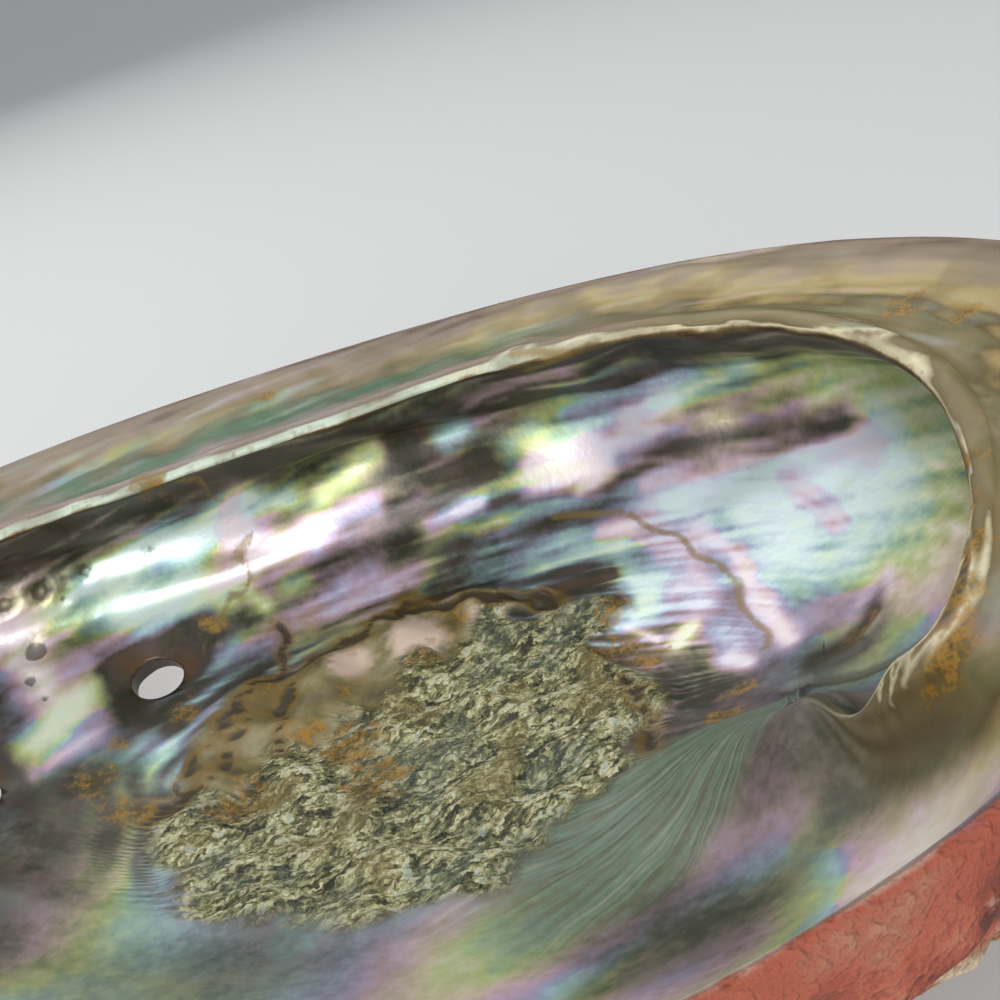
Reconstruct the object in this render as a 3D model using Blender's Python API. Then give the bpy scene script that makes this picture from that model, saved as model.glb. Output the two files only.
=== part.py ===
"""Abalone shell lying with its hollow side up.

Lengths are in millimetres and become metres when the mesh is written.
+X points to the end with the spire, +Y to the side with the broad inner ledge
and the row of pores, and +Z out of the hollow. The origin is on the surface
that the shell rests on, at the middle of its outline.

The shell is one closed surface: a sphere's rings and meridians are moved onto
ribs. Each rib starts at the spire's tip underneath, runs up the outside, over
the rim and the ledge, round the ledge's rolled edge and down the inner wall to
the middle of the hollow.
"""

import math

import bmesh
import bpy
import numpy as np
from mathutils import Matrix, Vector

MM = 0.001

LENGTH = 170.0
WIDTH = 130.0
RIM_HEIGHT = 40.0           # mean height of the rim over the table
RIM_SADDLE = 1.7            # the rim's two ends rise and its sides dip by this
FLOOR_HEIGHT = 4.6          # lowest point of the hollow
HOLLOW_RISE = 33.0
WORN_DEPTH = 0.7            # the dome's lowest part is rubbed flat by this
WORN_MIDDLE = (5.0, 6.0)
SPIRE = (47.0, -21.0)       # tip of the spire
SPIRE_RISE = 4.5
SPIRE_REACH = 17.0
DOME_MIDDLE = (5.0, 9.0)
HOLLOW_MIDDLE = (12.0, 10.0)
HOLLOW_POLE = (47.0, 3.0)    # where the inner ribs meet

SCAR_MIDDLE = (0.0, 13.0)    # pad where the muscle held on
SCAR_RADII = (31.0, 27.0)
SCAR_RISE = 1.1

# The fold that runs from the scar to the end of the ledge's rolled edge
FOLD_START = (24.0, 4.0)
FOLD_END = (41.0, -15.0)
FOLD_RISE = 9.0
FOLD_WIDTH = 8.0

# The ledge's rolled edge, once round the shell: angle of the rim point that a
# rib starts from, then the edge's x, y, z, how far the wall under it is cut
# back, and how far the wall's foot lies outside (+) or inside (-) of the edge.
# Along the outer lip there is no ledge, and only x, y and foot count.
ROLLED_EDGE = (
    (-150, -40.0, -36.0, 20.0, 0.0, -14.0),
    (-125, -15.0, -42.0, 20.0, 0.0, -14.0),
    (-100, 8.0, -36.0, 20.0, 0.0, -12.0),
    (-78, 24.0, -27.0, 20.0, 0.0, -9.0),
    (-62, 35.0, -19.0, 20.0, 0.0, -6.0),
    (-52, 41.0, -15.0, 20.5, 0.0, -3.0),
    (-44, 43.6, -19.0, 23.0, 0.5, -3.5),
    (-36, 46.6, -23.5, 26.8, 1.2, -4.0),
    (-28, 50.5, -26.3, 31.0, 3.8, -5.0),
    (-20, 54.5, -23.5, 33.6, 7.5, -6.0),
    (-12, 59.5, -15.5, 35.2, 10.0, -6.0),
    (-3, 63.0, -4.0, 36.3, 10.5, -6.0),
    (8, 64.0, 7.5, 37.2, 10.0, -6.5),
    (20, 61.0, 19.5, 37.9, 8.0, -6.0),
    (33, 53.5, 30.8, 38.1, 6.0, -5.0),
    (48, 40.0, 40.6, 37.8, 5.5, -3.5),
    (65, 22.0, 46.0, 36.9, 6.5, -1.0),
    (90, 0.0, 45.6, 36.3, 7.0, 0.5),
    (115, -22.5, 43.0, 36.4, 6.5, 0.0),
    (140, -46.0, 37.5, 37.1, 4.5, -2.0),
    (162, -65.0, 24.0, 38.2, 2.0, -6.0),
    (183, -75.0, 0.0, 38.5, 0.5, -9.0),
)
LEDGE_STARTS = (-56.0, -32.0)    # rim angles over which the ledge grows
LEDGE_ENDS = (150.0, 205.0)      # and over which it runs out

# Open pores, oldest first: x, y, length along the row, width
OPEN_PORES = ((-32.0, 35.4, 6.8, 5.6), (-52.2, 16.6, 7.4, 6.2), (-67.0, 5.2, 7.0, 5.8))
PORE_LEAN = (-0.20, 0.64, -0.74)  # the way that the pores lead out through the wall
# Sealed pores, from the open ones back to the spire: x, y
SEALED_PORES = (
    (-14.5, 39.5), (1.0, 42.5), (15.5, 42.5), (28.5, 39.5), (39.5, 34.5),
    (48.5, 27.5), (55.0, 19.5), (59.0, 11.0), (61.0, 2.5),
)
PORE_ROW_END = (-79.0, 0.5)

RINGS = 48
MERIDIANS = 100
OUTER_STEPS = (0.0, 0.07, 0.17, 0.3, 0.45, 0.6, 0.74, 0.86, 0.94, 0.98)
# Rows of faces between one station of a rib and the next
ROWS = (2, 2, 3, 4, 4, 3, 3, 2, 1, 1, 1, 1, 1, 1, 1, 1, 1, 1, 2, 2, 2, 4, 5)


def clear_scene():
    for item in list(bpy.data.objects):
        bpy.data.objects.remove(item, do_unlink=True)


def ease(start, end, value):
    """Goes from 0 at start to 1 at end along an S-shaped curve."""
    share = np.clip((value - start) / (end - start), 0, 1)
    return share * share * (3 - 2 * share)


def closed_curve(angles, values, where):
    """Smooth closed curve through rows of values, read at the angles in where."""
    knots = np.concatenate([angles[-2:] - 360, angles, angles[:3] + 360])
    points = np.concatenate([values[-2:], values, values[:3]])
    gaps = np.diff(knots)[:, None]
    rates = np.diff(points, axis=0) / gaps
    slopes = (rates[:-1] * gaps[1:] + rates[1:] * gaps[:-1]) / (gaps[1:] + gaps[:-1])
    where = (where - angles[0]) % 360 + angles[0]
    i = np.clip(np.searchsorted(knots, where, side="right") - 1, 1, len(knots) - 3)
    gap = gaps[i]
    t = (where - knots[i])[:, None] / gap
    start = (2 * t**3 - 3 * t**2 + 1) * points[i] + (t**3 - 2 * t**2 + t) * gap * slopes[i - 1]
    end = (3 * t**2 - 2 * t**3) * points[i + 1] + (t**3 - t**2) * gap * slopes[i]
    return start + end


def rib_curve(stations, rows):
    """Smooth curve down each rib, with rows[i] steps between stations i and i + 1."""
    gaps = np.sqrt(np.linalg.norm(np.diff(stations, axis=0), axis=2))[..., None] + 1e-6
    rates = np.diff(stations, axis=0) / gaps
    slopes = np.empty_like(stations)
    slopes[1:-1] = (rates[:-1] * gaps[1:] + rates[1:] * gaps[:-1]) / (gaps[1:] + gaps[:-1])
    slopes[0] = rates[0]
    slopes[-1] = rates[-1]
    rings = [stations[0]]
    for i, count in enumerate(rows):
        for t in np.arange(1, count + 1) / count:
            start = (2 * t**3 - 3 * t**2 + 1) * stations[i] + (t**3 - 2 * t**2 + t) * gaps[i] * slopes[i]
            end = (3 * t**2 - 2 * t**3) * stations[i + 1] + (t**3 - t**2) * gaps[i] * slopes[i + 1]
            rings.append(start + end)
    return np.stack(rings)


def outline_share(x, y, middle):
    """Distance from a point inside the outline, as a share of the way out to the rim."""
    a, b = LENGTH / 2, WIDTH / 2
    dx, dy = x - middle[0], y - middle[1]
    square = (dx / a) ** 2 + (dy / b) ** 2
    half = (dx * middle[0]) / a**2 + (dy * middle[1]) / b**2
    inside = 1 - (middle[0] / a) ** 2 - (middle[1] / b) ** 2
    reach = (-half + np.sqrt(half**2 + square * inside)) / (square + 1e-12)
    return np.clip(1 / (reach + 1e-12), 0, 1)


def line_gap(x, y, start, end):
    """Distance to a straight stretch, and the share of it that is passed."""
    dx, dy = end[0] - start[0], end[1] - start[1]
    share = np.clip(((x - start[0]) * dx + (y - start[1]) * dy) / (dx * dx + dy * dy), 0, 1)
    return np.hypot(x - start[0] - share * dx, y - start[1] - share * dy), share


def hollow_height(x, y):
    """Height of the hollow's floor and slopes, as if there were no ledge.

    A bowl whose sides steepen as a power of the distance from its middle, with
    one reach and power to each side, and the fold that climbs to the spire.
    """
    dx, dy = x - HOLLOW_MIDDLE[0], y - HOLLOW_MIDDLE[1]
    east = dx / np.where(dx > 0, 72.0, 94.0)
    north = dy / np.where(dy > 0, 62.0, 72.5)
    share = np.hypot(east, north) + 1e-9
    power = 2.6 + 0.6 * np.clip(-east / share, 0, 1) ** 2 + 0.3 * np.clip(-north / share, 0, 1) ** 2
    gap, along = line_gap(x, y, FOLD_START, FOLD_END)
    fold = (0.1 + 0.9 * along**1.5) * np.exp(-(gap / FOLD_WIDTH) ** 2)
    return FLOOR_HEIGHT + HOLLOW_RISE * share**power + FOLD_RISE * fold


def dome_height(x, y, rim):
    """Height of the outside: a rounded dome, rubbed flat where it is lowest."""
    share = outline_share(x, y, DOME_MIDDLE)
    reach = np.hypot(x - DOME_MIDDLE[0], y - DOME_MIDDLE[1]) + 1e-9
    power = 1.88 + 0.2 * np.clip((x + y - sum(DOME_MIDDLE)) / (1.414 * reach), 0, 1)
    rise = 1 - (1 - share**power) ** (1 / power)
    gap = np.hypot(x - SPIRE[0], y - SPIRE[1])
    spire = SPIRE_RISE * np.exp(-((gap / SPIRE_REACH) ** 2))
    return (rim + WORN_DEPTH) * rise - WORN_DEPTH - spire


def ledge_share(angles):
    """1 where the ledge is full, 0 along the outer lip."""
    turned = (angles + 90) % 360 - 90
    return ease(*LEDGE_STARTS, turned) * (1 - ease(*LEDGE_ENDS, turned))


def shell_stations(angles):
    """The points that every rib passes through, as stations x ribs x 3."""
    turn = np.radians(angles)
    cosine, sine = np.cos(turn), np.sin(turn)
    a, b = LENGTH / 2, WIDTH / 2
    reach = a * b / np.hypot(b * cosine, a * sine)
    rim = np.stack([reach * cosine, reach * sine], -1)
    rim_in = rim / reach[:, None]
    rim_z = RIM_HEIGHT + RIM_SADDLE * np.cos(2 * turn)
    ledge = ledge_share(angles)
    table = np.array(ROLLED_EDGE, float)
    edge, edge_z, cut, foot = np.split(closed_curve(table[:, 0], table[:, 1:], angles), (2, 3, 4), axis=1)
    edge_z, cut, foot = edge_z[:, 0], cut[:, 0], foot[:, 0]
    edge_z = ledge * edge_z + (1 - ledge) * hollow_height(edge[:, 0], edge[:, 1])
    axis = np.stack([np.clip(edge[:, 0], -45, HOLLOW_POLE[0]), np.full(len(angles), HOLLOW_POLE[1])], -1)
    out = (edge - axis) / np.linalg.norm(edge - axis, axis=1)[:, None]
    pole = np.array(HOLLOW_POLE)

    def place(flat, height):
        return np.concatenate([flat, np.broadcast_to(height, len(angles))[:, None]], 1)

    def between(lip, shelf):
        return lip + (shelf - lip) * ledge[:, None]

    def down_slope(share):
        flat = edge + (pole - edge) * share
        return place(flat, hollow_height(flat[:, 0], flat[:, 1]))

    def under_edge(outwards, height):
        return place(edge + out * np.broadcast_to(outwards, len(angles))[:, None], height)

    def across_ledge(share, sag):
        flat = rim + (edge - rim) * share
        slope = np.minimum(hollow_height(flat[:, 0], flat[:, 1]), rim_z - 2)
        level = rim_z + (edge_z - rim_z) * share - sag
        return place(flat, slope + (level - slope) * ledge)

    stations = []
    spire = np.array(SPIRE)
    for step in OUTER_STEPS:
        flat = spire + (rim - spire) * step
        stations.append(place(flat, dome_height(flat[:, 0], flat[:, 1], rim_z - 2.0)))
    stations.append(place(rim, rim_z - 2.0))
    stations.append(place(rim - rim_in * 0.9, rim_z - 0.3))
    stations.append(place(rim - rim_in * 2.2, rim_z - 0.3 - 0.8 * (1 - ledge)))
    stations.append(across_ledge(0.34, 0.1))
    stations.append(across_ledge(0.62, 0.9))
    wall_foot = edge + out * foot[:, None]
    foot_z = hollow_height(wall_foot[:, 0], wall_foot[:, 1])
    depth = np.maximum(edge_z - foot_z, 0.5)
    roll = np.clip(depth / 22, 0.15, 1)
    stations.append(between(across_ledge(0.86, 0.9), under_edge(2.6, edge_z - 0.5)))
    stations.append(place(edge + out * 0.6 * ledge[:, None], edge_z))
    stations.append(between(down_slope(0.05), under_edge(-1.2, edge_z - 1.5 * roll)))
    stations.append(between(down_slope(0.10), under_edge(0.1 * cut - 0.2, edge_z - 3.6 * roll)))
    stations.append(between(down_slope(0.2), under_edge(cut, edge_z - 0.42 * depth)))
    stations.append(between(down_slope(0.32), under_edge(0.75 * cut + 0.25 * foot, edge_z - 0.74 * depth)))
    stations.append(between(down_slope(0.5), under_edge(foot, foot_z)))
    middle = between(down_slope(0.75), place(wall_foot + (pole - wall_foot) * 0.45, 0))
    stations.append(place(middle[:, :2], hollow_height(middle[:, 0], middle[:, 1])))
    stations.append(place(np.tile(pole, (len(angles), 1)), hollow_height(*pole)))
    return np.stack(stations)


def waves(points, length, seed, count=9):
    """Even, rounded lumps about as far apart as length: a sum of plane waves."""
    draw = np.random.default_rng(seed)
    ways = draw.normal(size=(count, 3))
    ways /= np.linalg.norm(ways, axis=1)[:, None]
    lengths = length * draw.uniform(0.8, 1.3, count)
    phases = draw.uniform(0, 2 * math.pi, count)
    total = np.zeros(points.shape[:-1])
    for way, span, phase in zip(ways, lengths, phases):
        total += np.cos(2 * math.pi * (points @ way) / span + phase)
    return total * math.sqrt(2 / count)


def row_gap(x, y):
    """Distance to the row of pores, and its place along the row from the spire."""
    row = [pore[:2] for pore in reversed(SEALED_PORES)] + [pore[:2] for pore in OPEN_PORES] + [PORE_ROW_END]
    best = np.full(np.shape(x), 1e9)
    place = np.zeros(np.shape(x))
    for i, (start, end) in enumerate(zip(row, row[1:])):
        gap, share = line_gap(x, y, start, end)
        place = np.where(gap < best, (i + share) / (len(row) - 1), place)
        best = np.minimum(best, gap)
    return best, place


def outside_relief(points):
    """How far the outside stands out: growth ridges, lumps, the pore row, the spire's coil."""
    x, y = points[..., 0], points[..., 1]
    share = outline_share(x, y, SPIRE)
    gap = np.hypot(x - SPIRE[0], y - SPIRE[1])
    turn = np.arctan2(y - SPIRE[1], x - SPIRE[0])
    wide = ease(25, 60, gap / (share + 0.05))
    ridge_phase = 2 * math.pi * (8.5 * share + 0.22 * waves(points, 70, 3))
    height = (0.35 + 0.45 * wide) * np.sin(ridge_phase) * ease(0.12, 0.3, share)
    height += 0.75 * waves(points, 17, 5) * ease(0.1, 0.4, share)
    coil = np.cos(turn + 2.6 * np.log(gap / 6 + 0.4))
    height += 0.9 * coil * ease(1.5, 6, gap) * (1 - ease(16, 34, gap))
    row, place = row_gap(x, y)
    height += 1.5 * np.exp(-((row / 7) ** 2)) * ease(0.0, 0.5, place)
    for pore_x, pore_y in SEALED_PORES:
        size = 2.6 + 1.9 * ease(60, -20, pore_x)
        height += 1.5 * np.exp(-((np.hypot(x - pore_x, y - pore_y) / size) ** 2))
    for pore_x, pore_y, length, width in OPEN_PORES:
        ring = np.hypot(x - pore_x, y - pore_y - 1.5) / (0.75 * length)
        height += 1.3 * np.exp(-(((ring - 1) / 0.5) ** 2))
    worn = 1 - ease(13, 22, np.hypot(x - WORN_MIDDLE[0], y - WORN_MIDDLE[1]))
    height += worn * (np.maximum(height, 0.2) - height)
    return height * ease(1.0, 0.93, share)


def inside_relief(points, depth):
    """How far the inside stands up: the scar's pad, the pore row's trough, the wall's folds."""
    x, y = points[..., 0], points[..., 1]
    scar = np.hypot((x - SCAR_MIDDLE[0]) / SCAR_RADII[0], (y - SCAR_MIDDLE[1]) / SCAR_RADII[1])
    pad = 1 - ease(0.86, 1.04, scar + 0.05 * waves(points, 14, 21))
    height = pad * (SCAR_RISE + 0.45 * waves(points, 7.5, 23))
    row, place = row_gap(x, y)
    low = ease(0.05, 0.4, depth)
    height -= 1.5 * np.exp(-((row / 5.0) ** 2)) * ease(0.3, 0.6, place) * low
    for pore_x, pore_y, length, width in OPEN_PORES:
        gap = np.hypot(x - pore_x, y - pore_y) / length
        height -= 1.1 * np.exp(-(gap**2)) * low
    far = ease(22, 40, y) * ease(0.0, 0.25, depth) * (1 - ease(0.75, 1.0, depth))
    height += far * (0.8 * np.sin(2 * math.pi * (points[..., 2] / 9 + x / 150) + waves(points, 40, 31))
                     + 0.5 * waves(points, 15, 33))
    return height


def outward(grid):
    """Unit normals of the rings-by-ribs grid, pointing out of the shell's wall."""
    along = np.gradient(grid, axis=0)
    around = np.roll(grid, -1, axis=1) - np.roll(grid, 1, axis=1)
    normal = np.cross(around, along)
    return normal / (np.linalg.norm(normal, axis=2)[..., None] + 1e-9)


def shell_grid(angles, rows):
    """The finished surface as rings x ribs x 3, from the spire's tip to the hollow's pole."""
    grid = rib_curve(shell_stations(angles), rows)
    rim_ring = sum(rows[:len(OUTER_STEPS) + 1])
    edge_ring = sum(rows[:len(OUTER_STEPS) + 6])
    foot_ring = sum(rows[:len(OUTER_STEPS) + 11])
    ring = np.arange(len(grid))[:, None]
    floor = hollow_height(grid[..., 0], grid[..., 1])
    open_slope = ease(rim_ring + 0.08, 0.5 * (rim_ring + edge_ring), ring) * (1 - ledge_share(angles))
    on_floor = np.maximum(open_slope, ease(0.6 * foot_ring + 0.4 * edge_ring, foot_ring, ring))
    grid[..., 2] += (floor - grid[..., 2]) * on_floor
    normal = outward(grid)
    depth = np.clip((ring - edge_ring) / (foot_ring - edge_ring), 0, 1) * np.ones(grid.shape[:2])
    height = np.where(ring < rim_ring, outside_relief(grid), 0)
    height = np.where(ring > edge_ring, inside_relief(grid, depth), height)
    height[-1] = height[-2].mean()
    height[0] = height[1].mean()
    normal[-1] = (0, 0, 1)
    normal[0] = (0, 0, -1)
    grid = grid + normal * height[..., None]
    grid[..., 2] = np.maximum(grid[..., 2], 0)
    return grid


def add_shell(collection):
    """Moves a sphere's rings and meridians onto the shell's ribs."""
    mesh = bpy.data.meshes.new("shell")
    sphere = bmesh.new()
    bmesh.ops.create_uvsphere(sphere, u_segments=MERIDIANS, v_segments=RINGS, radius=1.0)
    angles = np.arange(MERIDIANS) * 360 / MERIDIANS - 180
    grid = shell_grid(angles, ROWS) * MM
    for vertex in sphere.verts:
        ring = round((1 - math.acos(max(-1, min(1, vertex.co.z))) / math.pi) * RINGS)
        turn = math.atan2(vertex.co.y, vertex.co.x) / (2 * math.pi) + 0.5
        vertex.co = grid[ring, round(turn * MERIDIANS) % MERIDIANS]
    bmesh.ops.triangulate(sphere, faces=sphere.faces)
    sphere.to_mesh(mesh)
    sphere.free()
    mesh.shade_smooth()
    shell = bpy.data.objects.new("shell", mesh)
    collection.objects.link(shell)
    return shell


def add_pore_cutters(collection):
    """One leaning oval rod through the wall at each open pore."""
    cutters = []
    lean = Vector(PORE_LEAN).normalized()
    for number, (x, y, length, width) in enumerate(OPEN_PORES, 1):
        mesh = bpy.data.meshes.new(f"pore_cutter_{number}")
        rod = bmesh.new()
        bmesh.ops.create_cone(rod, cap_ends=True, segments=20, radius1=0.5, radius2=0.5, depth=1)
        along = Vector((-0.95, -0.3, 0))
        across = lean.cross(along).normalized()
        along = across.cross(lean)
        frame = Matrix((along * length, across * width, lean * 36)).transposed()
        height = float(hollow_height(x, y))
        middle = Vector((x, y, height))
        for vertex in rod.verts:
            vertex.co = (frame @ vertex.co + middle) * MM
        rod.to_mesh(mesh)
        rod.free()
        cutter = bpy.data.objects.new(f"pore_cutter_{number}", mesh)
        cutter.display_type = "WIRE"
        cutter.hide_render = True
        collection.objects.link(cutter)
        cutters.append(cutter)
    return cutters


def cut_pores(shell, cutters):
    for cutter in cutters:
        cut = shell.modifiers.new(cutter.name, "BOOLEAN")
        cut.operation = "DIFFERENCE"
        cut.solver = "EXACT"
        cut.object = cutter


def nacre_material():
    material = bpy.data.materials.new("nacre")
    material.use_nodes = True
    surface = material.node_tree.nodes["Principled BSDF"]
    surface.inputs["Base Color"].default_value = (0.50, 0.52, 0.46, 1)
    surface.inputs["Roughness"].default_value = 0.3
    surface.inputs["Metallic"].default_value = 0.35
    return material


def build():
    clear_scene()
    parts = bpy.data.collections.new("abalone_shell")
    tools = bpy.data.collections.new("cutters")
    bpy.context.scene.collection.children.link(parts)
    bpy.context.scene.collection.children.link(tools)
    shell = add_shell(parts)
    shell.data.materials.append(nacre_material())
    cut_pores(shell, add_pore_cutters(tools))


build()
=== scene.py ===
"""Looks of the abalone shell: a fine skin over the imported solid, nacre and crust, floor, lights, camera.

Lengths are in millimetres until a mesh is written, which takes metres. +X points to the end with the
spire, +Y to the side with the broad ledge and the pores, +Z up out of the hollow.

The skin is a grid of rings and ribs. Each rib starts at the spire's tip underneath, runs up the
outside, over the rim and the ledge, round the ledge's rolled edge and down the inner wall to the
middle of the hollow.
"""

import math

import bpy
import numpy as np
from mathutils import Matrix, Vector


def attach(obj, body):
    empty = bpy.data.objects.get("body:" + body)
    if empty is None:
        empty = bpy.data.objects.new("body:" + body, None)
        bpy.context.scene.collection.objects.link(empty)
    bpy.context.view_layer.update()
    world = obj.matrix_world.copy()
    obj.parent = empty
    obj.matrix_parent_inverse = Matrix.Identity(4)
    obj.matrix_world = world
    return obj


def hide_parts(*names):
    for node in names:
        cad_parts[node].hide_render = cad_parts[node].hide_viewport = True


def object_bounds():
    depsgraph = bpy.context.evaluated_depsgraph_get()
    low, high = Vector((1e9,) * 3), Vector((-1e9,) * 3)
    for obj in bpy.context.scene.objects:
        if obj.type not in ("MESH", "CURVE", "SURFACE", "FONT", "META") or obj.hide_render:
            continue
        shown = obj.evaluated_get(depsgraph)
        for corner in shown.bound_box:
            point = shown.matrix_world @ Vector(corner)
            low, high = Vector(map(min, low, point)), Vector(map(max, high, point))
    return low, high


MM = 0.001
TURN = 2 * math.pi

LENGTH = 170.0
WIDTH = 130.0
RIM_HEIGHT = 40.0
RIM_SADDLE = 1.7
FLOOR_HEIGHT = 4.6
HOLLOW_RISE = 33.0
HOLLOW_REACH_WEST_EAST = (94.0, 72.0)
HOLLOW_REACH_SOUTH_NORTH = (72.5, 62.0)
LIP_DROP = 2.0
WORN_DEPTH = 0.7
WORN_MIDDLE = (5.0, 6.0)
SPIRE = (47.0, -21.0)
SPIRE_RISE = 4.5
SPIRE_REACH = 17.0
DOME_MIDDLE = (5.0, 9.0)
HOLLOW_MIDDLE = (12.0, 10.0)
HOLLOW_POLE = (47.0, 3.0)

SCAR_MIDDLE = (0.0, 13.0)
SCAR_RADII = (31.0, 27.0)
SCAR_RISE = 1.1

FOLD_START = (24.0, 4.0)
FOLD_END = (41.0, -15.0)
FOLD_RISE = 9.0
FOLD_WIDTH = 8.0

# The ledge's rolled edge, once round the shell: angle of the rim point that a
# rib starts from, then the edge's x, y, z, how far the wall under it is cut
# back, and how far the wall's foot lies outside (+) or inside (-) of the edge.
ROLLED_EDGE = (
    (-150, -40.0, -36.0, 20.0, 0.0, -14.0),
    (-125, -15.0, -42.0, 20.0, 0.0, -14.0),
    (-100, 8.0, -36.0, 20.0, 0.0, -12.0),
    (-78, 24.0, -27.0, 20.0, 0.0, -9.0),
    (-62, 35.0, -19.0, 20.0, 0.0, -6.0),
    (-52, 41.0, -15.0, 20.5, 0.0, -3.0),
    (-44, 43.6, -19.0, 23.0, 0.5, -3.5),
    (-36, 46.6, -23.5, 26.8, 1.2, -4.0),
    (-28, 50.5, -26.3, 31.0, 3.8, -5.0),
    (-20, 54.5, -23.5, 33.6, 7.5, -6.0),
    (-12, 59.5, -15.5, 35.2, 10.0, -6.0),
    (-3, 63.0, -4.0, 36.3, 10.5, -6.0),
    (8, 64.0, 7.5, 37.2, 10.0, -6.5),
    (20, 61.0, 19.5, 37.9, 8.0, -6.0),
    (33, 53.5, 30.8, 38.1, 6.0, -5.0),
    (48, 40.0, 40.6, 37.8, 5.5, -3.5),
    (65, 22.0, 46.0, 36.9, 6.5, -1.0),
    (90, 0.0, 45.6, 36.3, 7.0, 0.5),
    (115, -22.5, 43.0, 36.4, 6.5, 0.0),
    (140, -46.0, 37.5, 37.1, 4.5, -2.0),
    (162, -65.0, 24.0, 38.2, 2.0, -6.0),
    (183, -75.0, 0.0, 38.5, 0.5, -9.0),
)
LEDGE_STARTS = (-56.0, -32.0)
LEDGE_ENDS = (150.0, 205.0)

# Open pores: x, y, length, width. Sealed pores: x, y. All run along one row.
OPEN_PORES = ((-32.0, 35.4, 6.8, 5.6), (-52.2, 16.6, 7.4, 6.2), (-67.0, 5.2, 7.0, 5.8))
PORE_LEAN = (-0.20, 0.64, -0.74)
PORE_LONG_WAY = (-0.95, -0.3, 0.0)
SEALED_PORES = (
    (-14.5, 39.5), (1.0, 42.5), (15.5, 42.5), (28.5, 39.5), (39.5, 34.5),
    (48.5, 27.5), (55.0, 19.5), (59.0, 11.0), (61.0, 2.5),
)
PORE_ROW_END = (-79.0, 0.5)

# Rings between one station of a rib and the next, and ribs once round. The
# ribs stand closer on the side with the ledge, which has the finest relief.
OUTER_STEPS = (0.0, 0.07, 0.17, 0.3, 0.45, 0.6, 0.74, 0.86, 0.94, 0.98)
OUTSIDE_ROWS = (4, 4, 6, 8, 8, 6, 6, 4, 2, 2, 2)
LEDGE_ROWS = (5, 6, 8, 8, 8)
WALL_ROWS = (5, 5, 10, 10, 10)
FLOOR_ROWS = (34, 38)
ROWS = OUTSIDE_ROWS + LEDGE_ROWS + WALL_ROWS + FLOOR_ROWS
RIBS = 486
CROWDING = 21.0
CROWDED_SIDE = 60.0

TABLE_RINGS = 13
TABLE_RIBS = 96
ROD_RIBS = 40
ROD_DEPTH = 16.0       # how far a pore's cutter goes to either side of the wall
NO_LINE = 9.0          # the distance that stands for no crack nearby

RIM_RING = sum(OUTSIDE_ROWS)
EDGE_RING = RIM_RING + sum(LEDGE_ROWS)
FOOT_RING = EDGE_RING + sum(WALL_ROWS)
LAST_RING = sum(ROWS)


def ease(start, end, value):
    """Goes from 0 at start to 1 at end along an S-shaped curve."""
    share = np.clip((value - start) / (end - start), 0, 1)
    return share * share * (3 - 2 * share)


def bell(value, width):
    """Bell curve: 1 at nought, falling to either side within about the width."""
    return np.exp(-((value / width) ** 2))


def closed_curve(angles, values, where):
    """Smooth closed curve through rows of values, read at the angles in where: cubic between knots."""
    knots = np.concatenate([angles[-2:] - 360, angles, angles[:3] + 360])
    points = np.concatenate([values[-2:], values, values[:3]])
    gaps = np.diff(knots)[:, None]
    rates = np.diff(points, axis=0) / gaps
    slopes = (rates[:-1] * gaps[1:] + rates[1:] * gaps[:-1]) / (gaps[1:] + gaps[:-1])
    where = (where - angles[0]) % 360 + angles[0]
    i = np.clip(np.searchsorted(knots, where, side="right") - 1, 1, len(knots) - 3)
    gap = gaps[i]
    t = (where - knots[i])[:, None] / gap
    start = (2 * t**3 - 3 * t**2 + 1) * points[i] + (t**3 - 2 * t**2 + t) * gap * slopes[i - 1]
    end = (3 * t**2 - 2 * t**3) * points[i + 1] + (t**3 - t**2) * gap * slopes[i]
    return start + end


def rib_curve(stations, rows):
    """Smooth curve down each rib: cubic, with rows[i] steps between stations i and i + 1."""
    gaps = np.sqrt(np.linalg.norm(np.diff(stations, axis=0), axis=2))[..., None] + 1e-6
    rates = np.diff(stations, axis=0) / gaps
    slopes = np.empty_like(stations)
    slopes[1:-1] = (rates[:-1] * gaps[1:] + rates[1:] * gaps[:-1]) / (gaps[1:] + gaps[:-1])
    slopes[0] = rates[0]
    slopes[-1] = rates[-1]
    rings = [stations[0]]
    for i, count in enumerate(rows):
        for t in np.arange(1, count + 1) / count:
            start = (2 * t**3 - 3 * t**2 + 1) * stations[i] + (t**3 - 2 * t**2 + t) * gaps[i] * slopes[i]
            end = (3 * t**2 - 2 * t**3) * stations[i + 1] + (t**3 - t**2) * gaps[i] * slopes[i + 1]
            rings.append(start + end)
    return np.stack(rings)


def outline_share(x, y, middle):
    """Distance from a point inside the outline, as a share of the way out to the rim's ellipse."""
    a, b = LENGTH / 2, WIDTH / 2
    dx, dy = x - middle[0], y - middle[1]
    square = (dx / a) ** 2 + (dy / b) ** 2
    half = (dx * middle[0]) / a**2 + (dy * middle[1]) / b**2
    inside = 1 - (middle[0] / a) ** 2 - (middle[1] / b) ** 2
    reach = (-half + np.sqrt(half**2 + square * inside)) / (square + 1e-12)
    return np.clip(1 / (reach + 1e-12), 0, 1)


def line_gap(x, y, start, end):
    """Distance to a straight stretch, and the share of it that is passed."""
    dx, dy = end[0] - start[0], end[1] - start[1]
    share = np.clip(((x - start[0]) * dx + (y - start[1]) * dy) / (dx * dx + dy * dy), 0, 1)
    return np.hypot(x - start[0] - share * dx, y - start[1] - share * dy), share


def path_gap(x, y, path):
    """Distance to the nearest stretch of a path of x, y points, and the share of the path passed there."""
    best = np.full(np.shape(x), 1e9)
    place = np.zeros(np.shape(x))
    for i, (start, end) in enumerate(zip(path, path[1:])):
        gap, share = line_gap(x, y, start, end)
        place = np.where(gap < best, (i + share) / (len(path) - 1), place)
        best = np.minimum(best, gap)
    return best, place


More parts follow.
